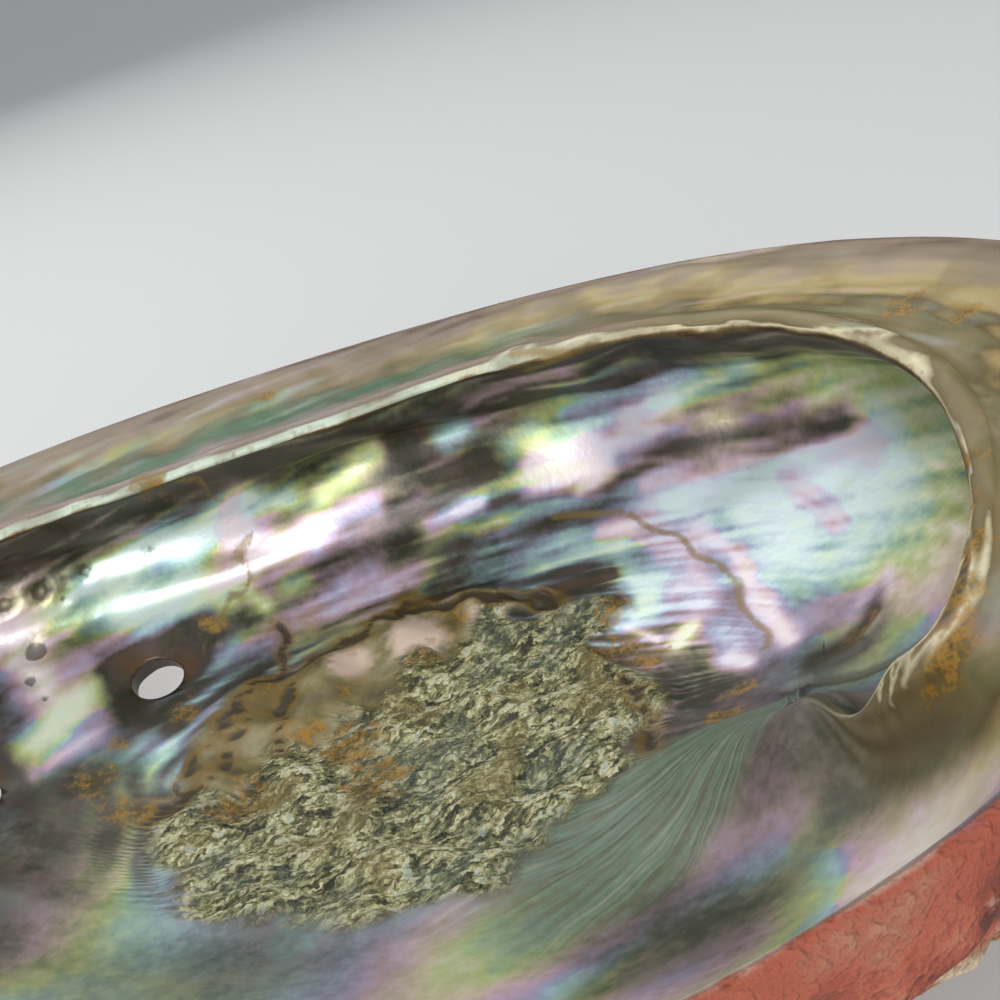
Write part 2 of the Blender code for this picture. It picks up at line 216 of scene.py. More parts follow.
def hollow_height(x, y):
    """Height of the hollow's floor and slopes, as if there were no ledge.

    A bowl whose sides steepen as a power of the distance from its middle, with
    one reach and power to each side, and the fold that climbs to the spire.
    """
    dx, dy = x - HOLLOW_MIDDLE[0], y - HOLLOW_MIDDLE[1]
    east = dx / np.where(dx > 0, HOLLOW_REACH_WEST_EAST[1], HOLLOW_REACH_WEST_EAST[0])
    north = dy / np.where(dy > 0, HOLLOW_REACH_SOUTH_NORTH[1], HOLLOW_REACH_SOUTH_NORTH[0])
    share = np.hypot(east, north) + 1e-9
    power = 2.6 + 0.6 * np.clip(-east / share, 0, 1) ** 2 + 0.3 * np.clip(-north / share, 0, 1) ** 2
    gap, along = line_gap(x, y, FOLD_START, FOLD_END)
    fold = (0.1 + 0.9 * along**1.5) * bell(gap, FOLD_WIDTH)
    return FLOOR_HEIGHT + HOLLOW_RISE * share**power + FOLD_RISE * fold


def dome_height(x, y, rim):
    """Height of the outside: a rounded dome (superellipse in section), rubbed flat where it is lowest."""
    share = outline_share(x, y, DOME_MIDDLE)
    reach = np.hypot(x - DOME_MIDDLE[0], y - DOME_MIDDLE[1]) + 1e-9
    power = 1.88 + 0.2 * np.clip((x + y - sum(DOME_MIDDLE)) / (1.414 * reach), 0, 1)
    rise = 1 - (1 - share**power) ** (1 / power)
    gap = np.hypot(x - SPIRE[0], y - SPIRE[1])
    spire = SPIRE_RISE * bell(gap, SPIRE_REACH)
    return (rim + WORN_DEPTH) * rise - WORN_DEPTH - spire


def ledge_share(angles):
    """1 where the ledge is full, 0 along the outer lip."""
    turned = (angles + 90) % 360 - 90
    return ease(*LEDGE_STARTS, turned) * (1 - ease(*LEDGE_ENDS, turned))


def shell_stations(angles):
    """The points that every rib passes through, as stations x ribs x 3."""
    turn = np.radians(angles)
    cosine, sine = np.cos(turn), np.sin(turn)
    a, b = LENGTH / 2, WIDTH / 2
    reach = a * b / np.hypot(b * cosine, a * sine)
    rim = np.stack([reach * cosine, reach * sine], -1)
    rim_in = rim / reach[:, None]
    rim_z = RIM_HEIGHT + RIM_SADDLE * np.cos(2 * turn)
    ledge = ledge_share(angles)
    table = np.array(ROLLED_EDGE, float)
    edge, edge_z, cut, foot = np.split(closed_curve(table[:, 0], table[:, 1:], angles), (2, 3, 4), axis=1)
    edge_z, cut, foot = edge_z[:, 0], cut[:, 0], foot[:, 0]
    edge_z = ledge * edge_z + (1 - ledge) * hollow_height(edge[:, 0], edge[:, 1])
    axis = np.stack([np.clip(edge[:, 0], -45, HOLLOW_POLE[0]), np.full(len(angles), HOLLOW_POLE[1])], -1)
    out = (edge - axis) / np.linalg.norm(edge - axis, axis=1)[:, None]
    pole = np.array(HOLLOW_POLE)

    def place(flat, height):
        return np.concatenate([flat, np.broadcast_to(height, len(angles))[:, None]], 1)

    def between(lip, shelf):
        return lip + (shelf - lip) * ledge[:, None]

    def down_slope(share):
        flat = edge + (pole - edge) * share
        return place(flat, hollow_height(flat[:, 0], flat[:, 1]))

    def under_edge(outwards, height):
        return place(edge + out * np.broadcast_to(outwards, len(angles))[:, None], height)

    def across_ledge(share, sag):
        flat = rim + (edge - rim) * share
        slope = np.minimum(hollow_height(flat[:, 0], flat[:, 1]), rim_z - LIP_DROP)
        level = rim_z + (edge_z - rim_z) * share - sag
        return place(flat, slope + (level - slope) * ledge)

    stations = []
    spire = np.array(SPIRE)
    for step in OUTER_STEPS:
        flat = spire + (rim - spire) * step
        stations.append(place(flat, dome_height(flat[:, 0], flat[:, 1], rim_z - LIP_DROP)))
    stations.append(place(rim, rim_z - LIP_DROP))
    stations.append(place(rim - rim_in * 0.9, rim_z - 0.3))
    stations.append(place(rim - rim_in * 2.2, rim_z - 0.3 - 0.8 * (1 - ledge)))
    stations.append(across_ledge(0.34, 0.1))
    stations.append(across_ledge(0.62, 0.9))
    wall_foot = edge + out * foot[:, None]
    foot_z = hollow_height(wall_foot[:, 0], wall_foot[:, 1])
    depth = np.maximum(edge_z - foot_z, 0.5)
    roll = np.clip(depth / 22, 0.15, 1)
    stations.append(between(across_ledge(0.86, 0.9), under_edge(2.6, edge_z - 0.5)))
    stations.append(place(edge + out * 0.6 * ledge[:, None], edge_z))
    stations.append(between(down_slope(0.05), under_edge(-1.2, edge_z - 1.5 * roll)))
    stations.append(between(down_slope(0.10), under_edge(0.1 * cut - 0.2, edge_z - 3.6 * roll)))
    stations.append(between(down_slope(0.2), under_edge(cut, edge_z - 0.42 * depth)))
    stations.append(between(down_slope(0.32), under_edge(0.75 * cut + 0.25 * foot, edge_z - 0.74 * depth)))
    stations.append(between(down_slope(0.5), under_edge(foot, foot_z)))
    middle = between(down_slope(0.75), place(wall_foot + (pole - wall_foot) * 0.45, 0))
    stations.append(place(middle[:, :2], hollow_height(middle[:, 0], middle[:, 1])))
    stations.append(place(np.tile(pole, (len(angles), 1)), hollow_height(*pole)))
    return np.stack(stations)


def waves(points, length, seed, count=9):
    """Even, rounded lumps about as far apart as length: a sum of plane waves."""
    draw = np.random.default_rng(seed)
    ways = draw.normal(size=(count, 3))
    ways /= np.linalg.norm(ways, axis=1)[:, None]
    lengths = length * draw.uniform(0.8, 1.3, count)
    phases = draw.uniform(0, TURN, count)
    total = np.zeros(points.shape[:-1])
    for way, span, phase in zip(ways, lengths, phases):
        total += np.cos(TURN * (points @ way) / span + phase)
    return total * math.sqrt(2 / count)


def row_gap(x, y):
    """Distance to the row of pores, and its place along the row from the spire."""
    row = [pore[:2] for pore in reversed(SEALED_PORES)] + [pore[:2] for pore in OPEN_PORES] + [PORE_ROW_END]
    return path_gap(x, y, row)


def outside_relief(points):
    """How far the outside stands out: growth ridges, lumps, the pore row, the spire's coil."""
    x, y = points[..., 0], points[..., 1]
    share = outline_share(x, y, SPIRE)
    gap = np.hypot(x - SPIRE[0], y - SPIRE[1])
    turn = np.arctan2(y - SPIRE[1], x - SPIRE[0])
    wide = ease(25, 60, gap / (share + 0.05))
    ridge_phase = TURN * (8.5 * share + 0.22 * waves(points, 70, 3))
    height = (0.35 + 0.45 * wide) * np.sin(ridge_phase) * ease(0.12, 0.3, share)
    height += 0.75 * waves(points, 17, 5) * ease(0.1, 0.4, share)
    coil = np.cos(turn + 2.6 * np.log(gap / 6 + 0.4))
    height += 0.9 * coil * ease(1.5, 6, gap) * (1 - ease(16, 34, gap))
    row, place = row_gap(x, y)
    height += 1.5 * bell(row, 7) * ease(0.0, 0.5, place)
    for pore_x, pore_y in SEALED_PORES:
        size = 2.6 + 1.9 * ease(60, -20, pore_x)
        height += 1.5 * bell(np.hypot(x - pore_x, y - pore_y), size)
    for pore_x, pore_y, length, _ in OPEN_PORES:
        ring = np.hypot(x - pore_x, y - pore_y - 1.5) / (0.75 * length)
        height += 1.3 * bell(ring - 1, 0.5)
    worn = 1 - ease(13, 22, np.hypot(x - WORN_MIDDLE[0], y - WORN_MIDDLE[1]))
    height += worn * (np.maximum(height, 0.2) - height)
    return height * ease(1.0, 0.93, share)


def scar_level(x, y):
    """0 at the middle of the muscle scar and 1 on its oval outline."""
    return np.hypot((x - SCAR_MIDDLE[0]) / SCAR_RADII[0], (y - SCAR_MIDDLE[1]) / SCAR_RADII[1])


def inside_relief(points, depth):
    """How far the inside stands up: the scar's pad, the pore row's trough, the wall's folds."""
    x, y = points[..., 0], points[..., 1]
    pad = 1 - ease(0.86, 1.04, scar_level(x, y) + 0.05 * waves(points, 14, 21))
    height = pad * (SCAR_RISE + 0.45 * waves(points, 7.5, 23))
    row, place = row_gap(x, y)
    low = ease(0.05, 0.4, depth)
    height -= 1.5 * bell(row, 5.0) * ease(0.3, 0.6, place) * low
    for pore_x, pore_y, length, _ in OPEN_PORES:
        gap = np.hypot(x - pore_x, y - pore_y) / length
        height -= 1.1 * bell(gap, 1) * low
    far = ease(22, 40, y) * ease(0.0, 0.25, depth) * (1 - ease(0.75, 1.0, depth))
    height += far * (0.35 * np.sin(TURN * (points[..., 2] / 9 + x / 150) + waves(points, 40, 31))
                     + 0.5 * waves(points, 15, 33))
    return height


def outward(grid):
    """Unit normals of the rings-by-ribs grid, pointing out of the shell's wall."""
    along = np.gradient(grid, axis=0)
    around = np.roll(grid, -1, axis=1) - np.roll(grid, 1, axis=1)
    normal = np.cross(around, along)
    return normal / (np.linalg.norm(normal, axis=2)[..., None] + 1e-9)


def shell_grid(angles):
    """The shell's main form as rings x ribs x 3, from the spire's tip to the hollow's pole."""
    grid = rib_curve(shell_stations(angles), ROWS)
    ring = np.arange(len(grid))[:, None]
    floor = hollow_height(grid[..., 0], grid[..., 1])
    open_slope = ease(RIM_RING + 0.08, 0.5 * (RIM_RING + EDGE_RING), ring) * (1 - ledge_share(angles))
    on_floor = np.maximum(open_slope, ease(0.6 * FOOT_RING + 0.4 * EDGE_RING, FOOT_RING, ring))
    grid[..., 2] += (floor - grid[..., 2]) * on_floor
    return grid


def cells(x, y, size, seed):
    """Cracked pattern of unlike cells: a number for each cell, and how near its border is.

    Each square of a lattice holds one point at a hashed place. A spot belongs to
    the nearest point, and the border's nearness is the gap between the two nearest.
    """
    column, row = np.floor(x / size), np.floor(y / size)
    nearest = np.full(x.shape, 1e9)
    second = np.full(x.shape, 1e9)
    number = np.zeros(x.shape)
    for step_x in (-1, 0, 1):
        for step_y in (-1, 0, 1):
            i, j = column + step_x, row + step_y
            hashed = np.sin(i * 127.1 + j * 311.7 + seed) * 43758.5453
            other = np.sin(i * 269.5 + j * 183.3 + seed) * 24634.6345
            jitter_x, jitter_y = hashed - np.floor(hashed), other - np.floor(other)
            gap = np.hypot(x / size - i - jitter_x, y / size - j - jitter_y)
            closer = gap < nearest
            second = np.where(closer, nearest, np.minimum(second, gap))
            number = np.where(closer, (jitter_x + 7 * jitter_y) % 1, number)
            nearest = np.where(closer, gap, nearest)
    return number, (second - nearest) * size, nearest * size


# Marks on the inside, in millimetres from above: x, y
ROUGH_FROM = (-13.0, 19.5)      # the scar is pebbled below a line through here
ROUGH_SLOPE = 0.50
GRAIN_TURN = math.radians(17)   # the pebbles are drawn out along this way
CRACKS = (
    ((0.2, 39.4), (-8.0, 35.2), (-20.1, 30.4), (-25.5, 22.9), (-28.4, 16.4), (-30.5, 12.0)),
    ((-20.5, 26.4), (-21.5, 22.0), (-23.3, 17.6), (-28.9, 11.6)),
    ((-14.4, 30.0), (-15.9, 26.6), (-16.0, 19.4)),
    ((-16.2, 41.6), (-15.7, 36.1), (-16.1, 33.0)),
    ((0.2, 39.4), (9.0, 37.5), (17.5, 36.0), (21.1, 32.4)),
    ((26.5, 15.0), (27.9, 6.1), (27.1, 0.0)),
)
GOLD_CURVE = ((24.0, 45.6), (31.7, 42.1), (38.0, 34.6), (41.5, 27.8), (42.7, 17.3), (42.2, 10.5))
GOLD_CRACK = ((-18.0, 49.5), (-19.3, 47.8), (-20.6, 45.0), (-24.3, 41.5))
COIL_MOUTH = ((56.8, 9.5), (56.2, 6.6), (54.6, 4.0), (52.2, 2.4), (49.4, 1.9), (46.5, 2.6), (44.0, 4.2))
COIL_GROOVE = ((40.0, 1.5), (44.8, 0.5), (49.0, -3.2), (53.5, -4.8), (58.0, -5.0))
FOLD_CRUST = ((43.4, -0.4), (42.0, -6.0), (41.2, -12.0), (41.0, -16.8), (40.0, -19.0))
# Patches: x, y, reach
GOLD_PATCHES = (
    (-18.6, 32.0, 3.0), (-28.4, 30.2, 2.6), (-35.4, 26.0, 2.4), (-37.6, 20.2, 3.6), (-33.6, 13.5, 4.0),
    (-11.4, 41.3, 3.0), (0.9, 41.5, 2.6), (6.7, 34.9, 3.0), (2.6, 30.3, 3.2), (-6.8, 28.8, 3.0),
    (-7.0, 17.6, 6.0), (-13.0, 22.0, 4.5), (26.5, 22.2, 3.6), (29.8, 17.6, 2.6), (35.0, 1.2, 2.4),
    # the two patches at x 51 to 54 lie in the coil's mouth: its amber, partly painted shade
    (38.0, 5.0, 2.4), (53.6, 5.2, 2.0), (51.0, 3.8, 2.0), (-20.0, 12.0, 5.0), (-4.0, 10.0, 5.0),
    (27.5, 28.0, 3.0), (-24.3, 42.5, 3.0),
)
LEDGE_PATCHES = (
    (-9.0, 56.4, 1.8), (66.5, 21.0, 3.0), (70.0, 15.0, 2.2), (61.0, -9.0, 2.0), (58.5, -14.5, 2.4),
    (56.0, -20.0, 2.6), (53.8, -25.0, 2.8), (51.0, -29.0, 2.6),
)
CREAM_PATCHES = (
    (2.4, 33.5, 5.5), (-18.6, 12.5, 3.5), (12.5, 34.5, 4.5), (-7.0, 32.5, 4.0), (27.4, -6.0, 3.0),
)
THREAD_ORIGIN = (44.0, -1.0)    # the growth threads fan out from the fold's end
# Pits and blisters of the far wall: x, y, z, size, rise
PITS = (
    (-43.8, 42.5, 25.3, 1.0, -0.6), (-48.0, 40.7, 25.8, 0.9, -0.55), (-38.2, 45.0, 25.1, 0.75, -0.45),
    (-41.8, 43.1, 23.3, 0.7, -0.4), (-39.3, 42.8, 19.4, 0.6, -0.3), (-29.8, 47.6, 24.3, 0.6, -0.35),
    (-46.3, 38.5, 19.2, 1.1, -0.6), (-48.3, 32.2, 17.3, 0.9, 0.4), (-46.6, 34.3, 17.6, 0.7, -0.4),
    (-45.0, 32.3, 15.7, 0.6, -0.35), (-33.9, 46.2, 27.3, 0.6, -0.35), (-44.1, 40.3, 31.7, 0.7, -0.4),
    (-42.2, 40.3, 18.5, 0.6, -0.3), (-50.0, 36.0, 21.0, 0.9, 0.4), (-31.5, 47.0, 27.5, 0.6, -0.3),
)
# Strokes of the nacre's colour and of painted light, laid over one another in this order: hue, paleness,
# reach, path of x, y, z points. Hues run 0 pink, 0.14 lavender, 0.28 blue, 0.42 cyan, 0.56 mint, 0.7
# yellow-green,
# 0.84 cream; a high paleness is partly the nacre's lustre and partly a painted highlight, below 0 a painted
# brown shadow.
STROKES = (
    # painted shade under the rolled edge and in the folds of the far wall
    (0.80, 0.02, 4.5, ((-60, 34, 32), (-18, 46, 33), (16, 48, 34), (35, 41, 35), (47, 35, 35),
                       (58, 26, 35))),
    (0.62, 0.14, 4.0, ((-5, 45, 34), (3, 47, 33), (14, 48, 33))),
    (0.90, -0.15, 1.8, ((15, 50, 31), (19, 50, 30), (25, 49, 29))),
    (0.90, -0.15, 2.4, ((5, 53, 25), (14, 52, 21.5), (18, 52, 23.5))),
    (0.97, 0.22, 2.6, ((-18, 47, 15.5), (-12, 49, 15.5), (-4, 49.5, 15.5), (6, 51, 18))),
    (0.95, 0.34, 1.8, ((17, 49.5, 30.5), (24, 48, 32), (30, 45.5, 32.5))),
    (0.25, 0.45, 0.9, ((28, 51, 24.5), (34, 49, 25.5))),
    (0.60, 0.40, 2.2, ((20, 52, 22.5), (25, 52, 23))),
    (0.40, 0.45, 2.4, ((12, 53, 24.7), (14.5, 53, 25.5))),
    # streaks of the far wall, from the young end to the spire; the palest are painted highlights
    (0.55, 0.55, 3.6, ((-46, 41, 23), (-34, 45, 20), (-28, 45, 21))),
    (0.50, 1.00, 2.3, ((-37, 45.5, 24), (-30, 47.5, 24), (-20.5, 49, 25))),
    (0.08, 1.10, 2.6, ((-17, 50, 26), (-18, 49.5, 21.5))),
    (0.50, 0.80, 2.0, ((-15, 51, 25), (-11, 52, 24))),
    (0.52, 1.00, 2.1, ((-36, 43, 17.5), (-29, 45, 17.5), (-23.5, 46.5, 17))),
    (0.99, 1.00, 1.8, ((-23, 46.5, 17), (-17, 48.5, 18), (-9.5, 50.5, 18.5))),
    (0.24, 0.85, 1.1, ((-9.5, 50, 17.5), (-4.5, 51.5, 18.5), (0, 52, 19))),
    (0.72, 0.90, 1.7, ((-6, 53, 22.5), (-3, 53.5, 23.5), (2, 54, 25.5))),
    (0.16, 0.90, 1.1, ((6.5, 50, 14.5), (10, 50.5, 15), (14, 50.5, 15.5))),
    (0.85, 0.60, 1.4, ((13, 47.5, 13), (16, 48, 13.5))),
    (0.97, 0.90, 1.1, ((29, 47, 15.5), (31.5, 46.5, 17))),
    (0.12, 0.55, 2.2, ((36, 48, 22.5), (40, 45.5, 26), (44, 43, 27.5))),
    (0.46, 1.00, 1.5, ((40, 45.5, 24.5), (42, 44.5, 25))),
    (0.99, 0.95, 1.3, ((38.5, 45.5, 21.5), (42.5, 44, 23))),
    (0.57, 0.75, 2.0, ((44.5, 43.5, 25.5), (47.5, 41, 27), (51.5, 37.5, 29.5))),
    (0.86, 0.38, 2.6, ((45, 42, 22), (52, 39.5, 23.5), (56, 34.5, 25))),
    (0.14, 0.42, 3.4, ((57, 33.5, 25.5), (61.5, 30, 24.5))),
    # the smooth deep end: broad painted highlights of the bowl, and painted shade at the coil's mouth
    (0.86, 0.62, 7.0, ((66, 18, 21), (63.5, 10, 18), (58.5, 4, 15))),
    (0.74, 0.60, 6.0, ((60, 32, 27), (64, 28, 27), (68, 22, 26), (68, 8, 26), (62, -6, 30))),
    (0.64, 0.62, 5.0, ((61, 23, 18.5), (60, 15.5, 16), (57, 13, 14.5))),
    (0.50, 0.68, 6.0, ((47.5, 22, 11), (52.5, 17, 12.5), (56, 16.5, 14))),
    (0.43, 1.00, 5.0, ((38, 40, 13.5), (42, 38, 14), (46.5, 34, 14), (49.5, 27.5, 13))),
    (0.45, 1.00, 5.2, ((52, 32, 17), (57, 28, 18.5), (60, 23, 18.5))),
    (0.10, 1.00, 2.3, ((55, 33, 19.5), (57, 31.5, 20), (59, 29.5, 20), (61, 26, 20))),
    (0.02, 0.90, 1.3, ((36, 43, 15.5), (43, 40, 16.5), (51, 36, 18))),
    (0.08, 0.72, 1.6, ((52, 31, 16.5), (54, 26, 15.5), (55, 21, 14))),
    (0.10, 0.42, 3.0, ((45, 13, 9), (49, 10, 10.5), (53, 6.5, 12.5))),
    (0.02, 0.85, 1.5, ((40.5, 33.5, 11.5), (43.5, 27, 10.5), (43.5, 19, 9), (45, 9.5, 9))),
    (0.88, -0.35, 1.5, ((54, 4.5, 12.5), (50.5, 2, 11.5), (47, 3, 10))),
    # between the gold curve and the scar
    (0.06, 0.65, 3.0, ((33.5, 38.5, 11), (37.5, 32.5, 10), (38.5, 24.5, 8.5))),
    (0.50, 0.85, 2.4, ((29.5, 34, 9), (32, 29.5, 8), (30.5, 26.5, 7))),
    (0.15, 0.80, 1.6, ((36, 27, 8.5), (37.5, 23, 8))),
    (0.56, 0.80, 1.6, ((25, 41, 10), (30.5, 38.5, 10.5))),
    (0.00, 0.85, 1.2, ((28.5, 41.5, 11), (32, 40, 11.5))),
    (0.78, 1.00, 1.1, ((35.5, 20, 7), (33.5, 18.5, 6.5))),
    (0.25, 0.65, 2.2, ((38.5, 17, 7.5), (40, 13.5, 7.5))),
    (0.12, 0.95, 1.3, ((38, 12, 7), (40, 9.5, 7.5))),
    (0.90, -0.35, 1.8, ((17.5, 34.7, 8), (22, 34.5, 8), (27.5, 34, 8.5))),
    (0.50, 0.65, 0.8, ((11.5, 43, 9.7), (17.5, 43, 10), (23, 42, 10.5))),
    (0.12, 0.65, 2.6, ((-6, 44.5, 11.5), (1, 44.5, 11))),
    (0.90, 0.95, 0.5, ((21, 32.4, 8), (25, 28.7, 7.5), (31.3, 20.6, 6.5))),
    # the young end and the pores' trough: painted highlights, and painted shade in the pores' funnels
    (0.92, 0.85, 3.6, ((-52, 36, 23), (-47, 40, 23), (-48, 38, 19), (-45, 34, 17))),
    (0.90, 0.00, 2.6, ((-56, 33, 31), (-49, 38.5, 30), (-43, 43, 29), (-36, 46, 29.5))),
    (0.16, 0.35, 2.6, ((-38.5, 28, 11.5), (-34.5, 33, 9))),
    (0.70, 1.00, 2.1, ((-60, 12, 15), (-47.5, 24, 13), (-43, 30, 14), (-39, 35, 14))),
    (0.03, 0.75, 1.2, ((-56, 12, 14), (-44.5, 23, 12), (-41, 26.5, 11.5), (-37.5, 30.5, 11.5))),
    (0.22, 0.65, 1.4, ((-33, 25, 8.5), (-28, 27.5, 8), (-23.5, 30, 8))),
    (0.14, 0.55, 2.4, ((-23.5, 38.5, 10.5), (-17, 40, 10))),
    (0.70, 0.85, 1.3, ((-22.5, 45, 15), (-20, 46.5, 15), (-17.5, 44, 13.5))),
    (0.66, 0.50, 1.6, ((-14, 46, 14), (-12, 46.5, 14))),
    (0.85, -0.60, 2.6, ((-35.5, 37.5, 14), (-33, 37, 13), (-29.5, 37.5, 12))),
    (0.62, -0.20, 2.2, ((-36, 35, 12.5), (-35, 31, 10.5), (-29.5, 29.0, 8.5))),
    (0.85, -0.45, 2.8, ((-58, 22, 17), (-53, 22.5, 14.5), (-49, 21, 13))),
    # painted shade along the fold over the deep end, painted highlights at the brightest spots and along
    # the coil's mouth
    (0.90, -0.15, 1.8, ((29, 46.5, 15), (36, 44, 17.5), (43.5, 40.5, 19))),
    (0.90, 0.16, 1.7, ((43.5, 40.5, 19), (51, 37.5, 19.5), (59.5, 30.5, 22.5))),
    (0.00, 0.85, 0.7, ((27.5, 47, 15), (32, 46, 16.5), (36, 44.5, 18))),
    (0.93, 1.20, 2.6, ((22.5, 50, 18), (26, 49, 18), (30, 48.5, 19))),
    (0.11, 1.00, 1.8, ((31.5, 48, 19), (37, 46, 21.5))),
    (0.90, 0.75, 0.8, ((56.8, 9.5, 14), (56.2, 6.6, 13.5), (54.6, 4, 12.5), (52.2, 2.4, 11.5))),
    # the outer lip's slope: a cream band towards the rim, partly its own colour and partly a painted
    # highlight
    (0.88, 0.16, 8.0, ((34, -8, 12), (41, -16, 16), (48, -25, 24))),
    (0.86, 0.75, 7.5, ((0, -64, 36), (28, -56, 36), (42, -44, 26), (46, -35.5, 22), (49.5, -37, 27),
                       (53, -39, 32))),
    (0.70, 0.05, 3.0, ((18, -34, 16), (34, -28, 16), (40.5, -25, 17), (45, -26, 19), (49, -30, 24.5),
                       (52.5, -34.5, 30))),
    # the broad ledge
    (0.60, 0.55, 2.6, ((-34, 51, 38), (-12, 54.5, 38), (-4, 54, 38))),
    (0.34, 0.55, 1.6, ((-6, 54, 38), (1, 53, 38))),
    (0.58, 0.50, 2.2, ((8, 52.5, 38), (22.5, 52, 38), (30, 49, 38))),
    (0.40, 0.45, 2.0, ((60, 30, 38), (67, 21, 38), (70, 13, 38))),
    (0.98, 0.40, 2.2, ((-60, 40, 39), (-46, 44, 38), (-30, 47, 38))),
)


def path_reach(points, path):
    """Distance in space to the nearest stretch of a path of x, y, z points."""
    best = np.full(points.shape[:-1], 1e9)
    for start, end in zip(path, path[1:]):
        start, stretch = np.array(start, float), np.subtract(end, start)
        share = np.clip((points - start) @ stretch / (stretch @ stretch), 0, 1)
        best = np.minimum(best, np.linalg.norm(points - start - share[..., None] * stretch, axis=-1))
    return best


def mottle(u, v, seed, round_u):
    """Smooth random patches between -1 and 1, one to each unit square, repeated after round_u squares."""
    i, j = np.floor(u), np.floor(v)
    part_u, part_v = u - i, v - j
    part_u, part_v = part_u * part_u * (3 - 2 * part_u), part_v * part_v * (3 - 2 * part_v)

    def corner(step_i, step_j):
        hashed = np.sin(((i + step_i) % round_u) * 127.1 + (j + step_j) * 311.7 + seed) * 43758.5453
        return hashed - np.floor(hashed)

    low = corner(0, 0) * (1 - part_u) + corner(1, 0) * part_u
    high = corner(0, 1) * (1 - part_u) + corner(1, 1) * part_u
    return 2 * (low * (1 - part_v) + high * part_v) - 1


def streaks(turn, down, waves_round, width, seed, count=16):
    """Streaks round the shell: a sum of waves, each a whole number of times round and finer across."""
    draw = np.random.default_rng(seed)
    total = np.zeros(down.shape)
    for _ in range(count):
        round_it = draw.integers(-waves_round, waves_round // 6)
        across = draw.uniform(0.3, 1.0) / width
        total += np.cos(TURN * (round_it * turn + across * down) + draw.uniform(0, TURN))
    return total * math.sqrt(2 / count)


def along_grain(x, y):
    """Coordinates along and across the grain of the scar's pebbles."""
    cosine, sine = math.cos(GRAIN_TURN), math.sin(GRAIN_TURN)
    return x * cosine + y * sine, y * cosine - x * sine


def scar_masks(points):
    """1 inside the muscle scar, and 1 on the part of it that is pebbled."""
    x, y = points[..., 0], points[..., 1]
    level = scar_level(x, y) + 0.05 * waves(points, 14, 21) + 0.02 * waves(points, 3.5, 22)
    scar = 1 - ease(0.90, 0.97, level)
    above = y - ROUGH_FROM[1] - ROUGH_SLOPE * (x - ROUGH_FROM[0]) + 1.6 * waves(points, 9, 25)
    return scar, scar * (1 - ease(-0.8, 0.9, above + 0.7 * waves(points, 2.6, 26)))


def thread_turn(x, y):
    """Angle round the origin of the growth threads, and the distance from it."""
    dx, dy = x - THREAD_ORIGIN[0], y - THREAD_ORIGIN[1]
    return np.arctan2(-dy, -dx), np.hypot(dx, dy)


def thread_mask(x, y):
    """1 where the threads lie: in the fan between the scar and the outer lip."""
    turn, gap = thread_turn(x, y)
    fan = ease(-0.15, 0.05, turn) * (1 - ease(1.15, 1.5, turn))
    return fan * ease(0.5, 3, gap) * (1 - ease(30, 55, gap))


def wandering_gap(points, crack, number):
    """Distance from above to a crack's path, which is made to wander a little."""
    x = points[..., 0] + 0.5 * waves(points, 4, 50 + number)
    y = points[..., 1] + 0.5 * waves(points, 4, 60 + number)
    return path_gap(x, y, crack)[0]


def floor_relief(points, masks):
    """Fine relief of the hollow's floor: the scar's pebbles, the cracks, the growth threads."""
    x, y = points[..., 0], points[..., 1]
    scar, rough = masks
    along, across = along_grain(x, y)
    wander = 0.9 * waves(points, 6, 41)
    number, border, middle = cells(along / 1.9 + wander, across + wander, 1.25, 11.0)
    pebbles = 0.30 * ease(0, 0.45, border) + 0.34 * number - 0.2 * ease(0.3, 0.9, middle)
    flakes, _, _ = cells(along / 2.2 - wander, across, 2.9, 23.0)
    height = rough * (0.5 * pebbles + 0.10 * flakes + 0.10 * waves(points, 4.2, 43) - 0.2)
    height += (scar - rough) * (0.12 * waves(points, 6, 45) + 0.02 * waves(points, 1.9, 46))
    for index, crack in enumerate(CRACKS):
        gap = wandering_gap(points, crack, index)
        height -= 0.32 * bell(gap, 0.6)
        height += 0.14 * bell(gap - 1.2, 0.6)
    turn, gap = thread_turn(x, y)
    threads = np.sin(turn * 62 + 0.9 * waves(points, 12, 47))
    threads += 0.6 * np.sin(turn * 131 + waves(points, 9, 48))
    height += 0.018 * threads * thread_mask(x, y) * np.minimum(gap / 9, 1.6)
    return height


def coil_relief(points):
    """The mouth of the hidden coil, the groove below it and the crust that runs down the fold."""
    x, y = points[..., 0], points[..., 1]
    gap, place = path_gap(x, y, COIL_MOUTH)
    inner = 1 - ease(5.5, 7.5, np.hypot(x - 50.3, y - 8.6))
    taper = ease(0.0, 0.2, place) * (1 - ease(0.75, 1.0, place))
    height = 0.25 * bell(gap, 1.3) - 0.35 * bell(gap - 2.2, 1.6) * inner
    height *= taper
    gap, place = path_gap(x, y, COIL_GROOVE)
    height -= 0.5 * bell(gap, 1.1) * ease(0.0, 0.15, place)
    gap, _ = path_gap(x + 0.5 * waves(points, 3, 71), y, FOLD_CRUST)
    height += (0.45 + 0.35 * waves(points, 1.7, 72)) * bell(gap, 0.8)
    return height


def wall_relief(points, depth):
    """Fine relief of the far wall: long lumps, and at the young end small pits and blisters."""
    far = ease(20, 36, points[..., 1]) * ease(0.03, 0.22, depth) * (1 - ease(0.9, 1.0, depth))
    height = far * 0.09 * waves(points * (0.45, 1, 1.3), 5.5, 83)
    for pit_x, pit_y, pit_z, size, rise in PITS:
        gap = np.linalg.norm(points - (pit_x, pit_y, pit_z), axis=-1) / (1.25 * size)
        height += 1.4 * rise * bell(gap, 1) - 0.4 * rise * bell(gap - 1.6, 0.5)
    return height


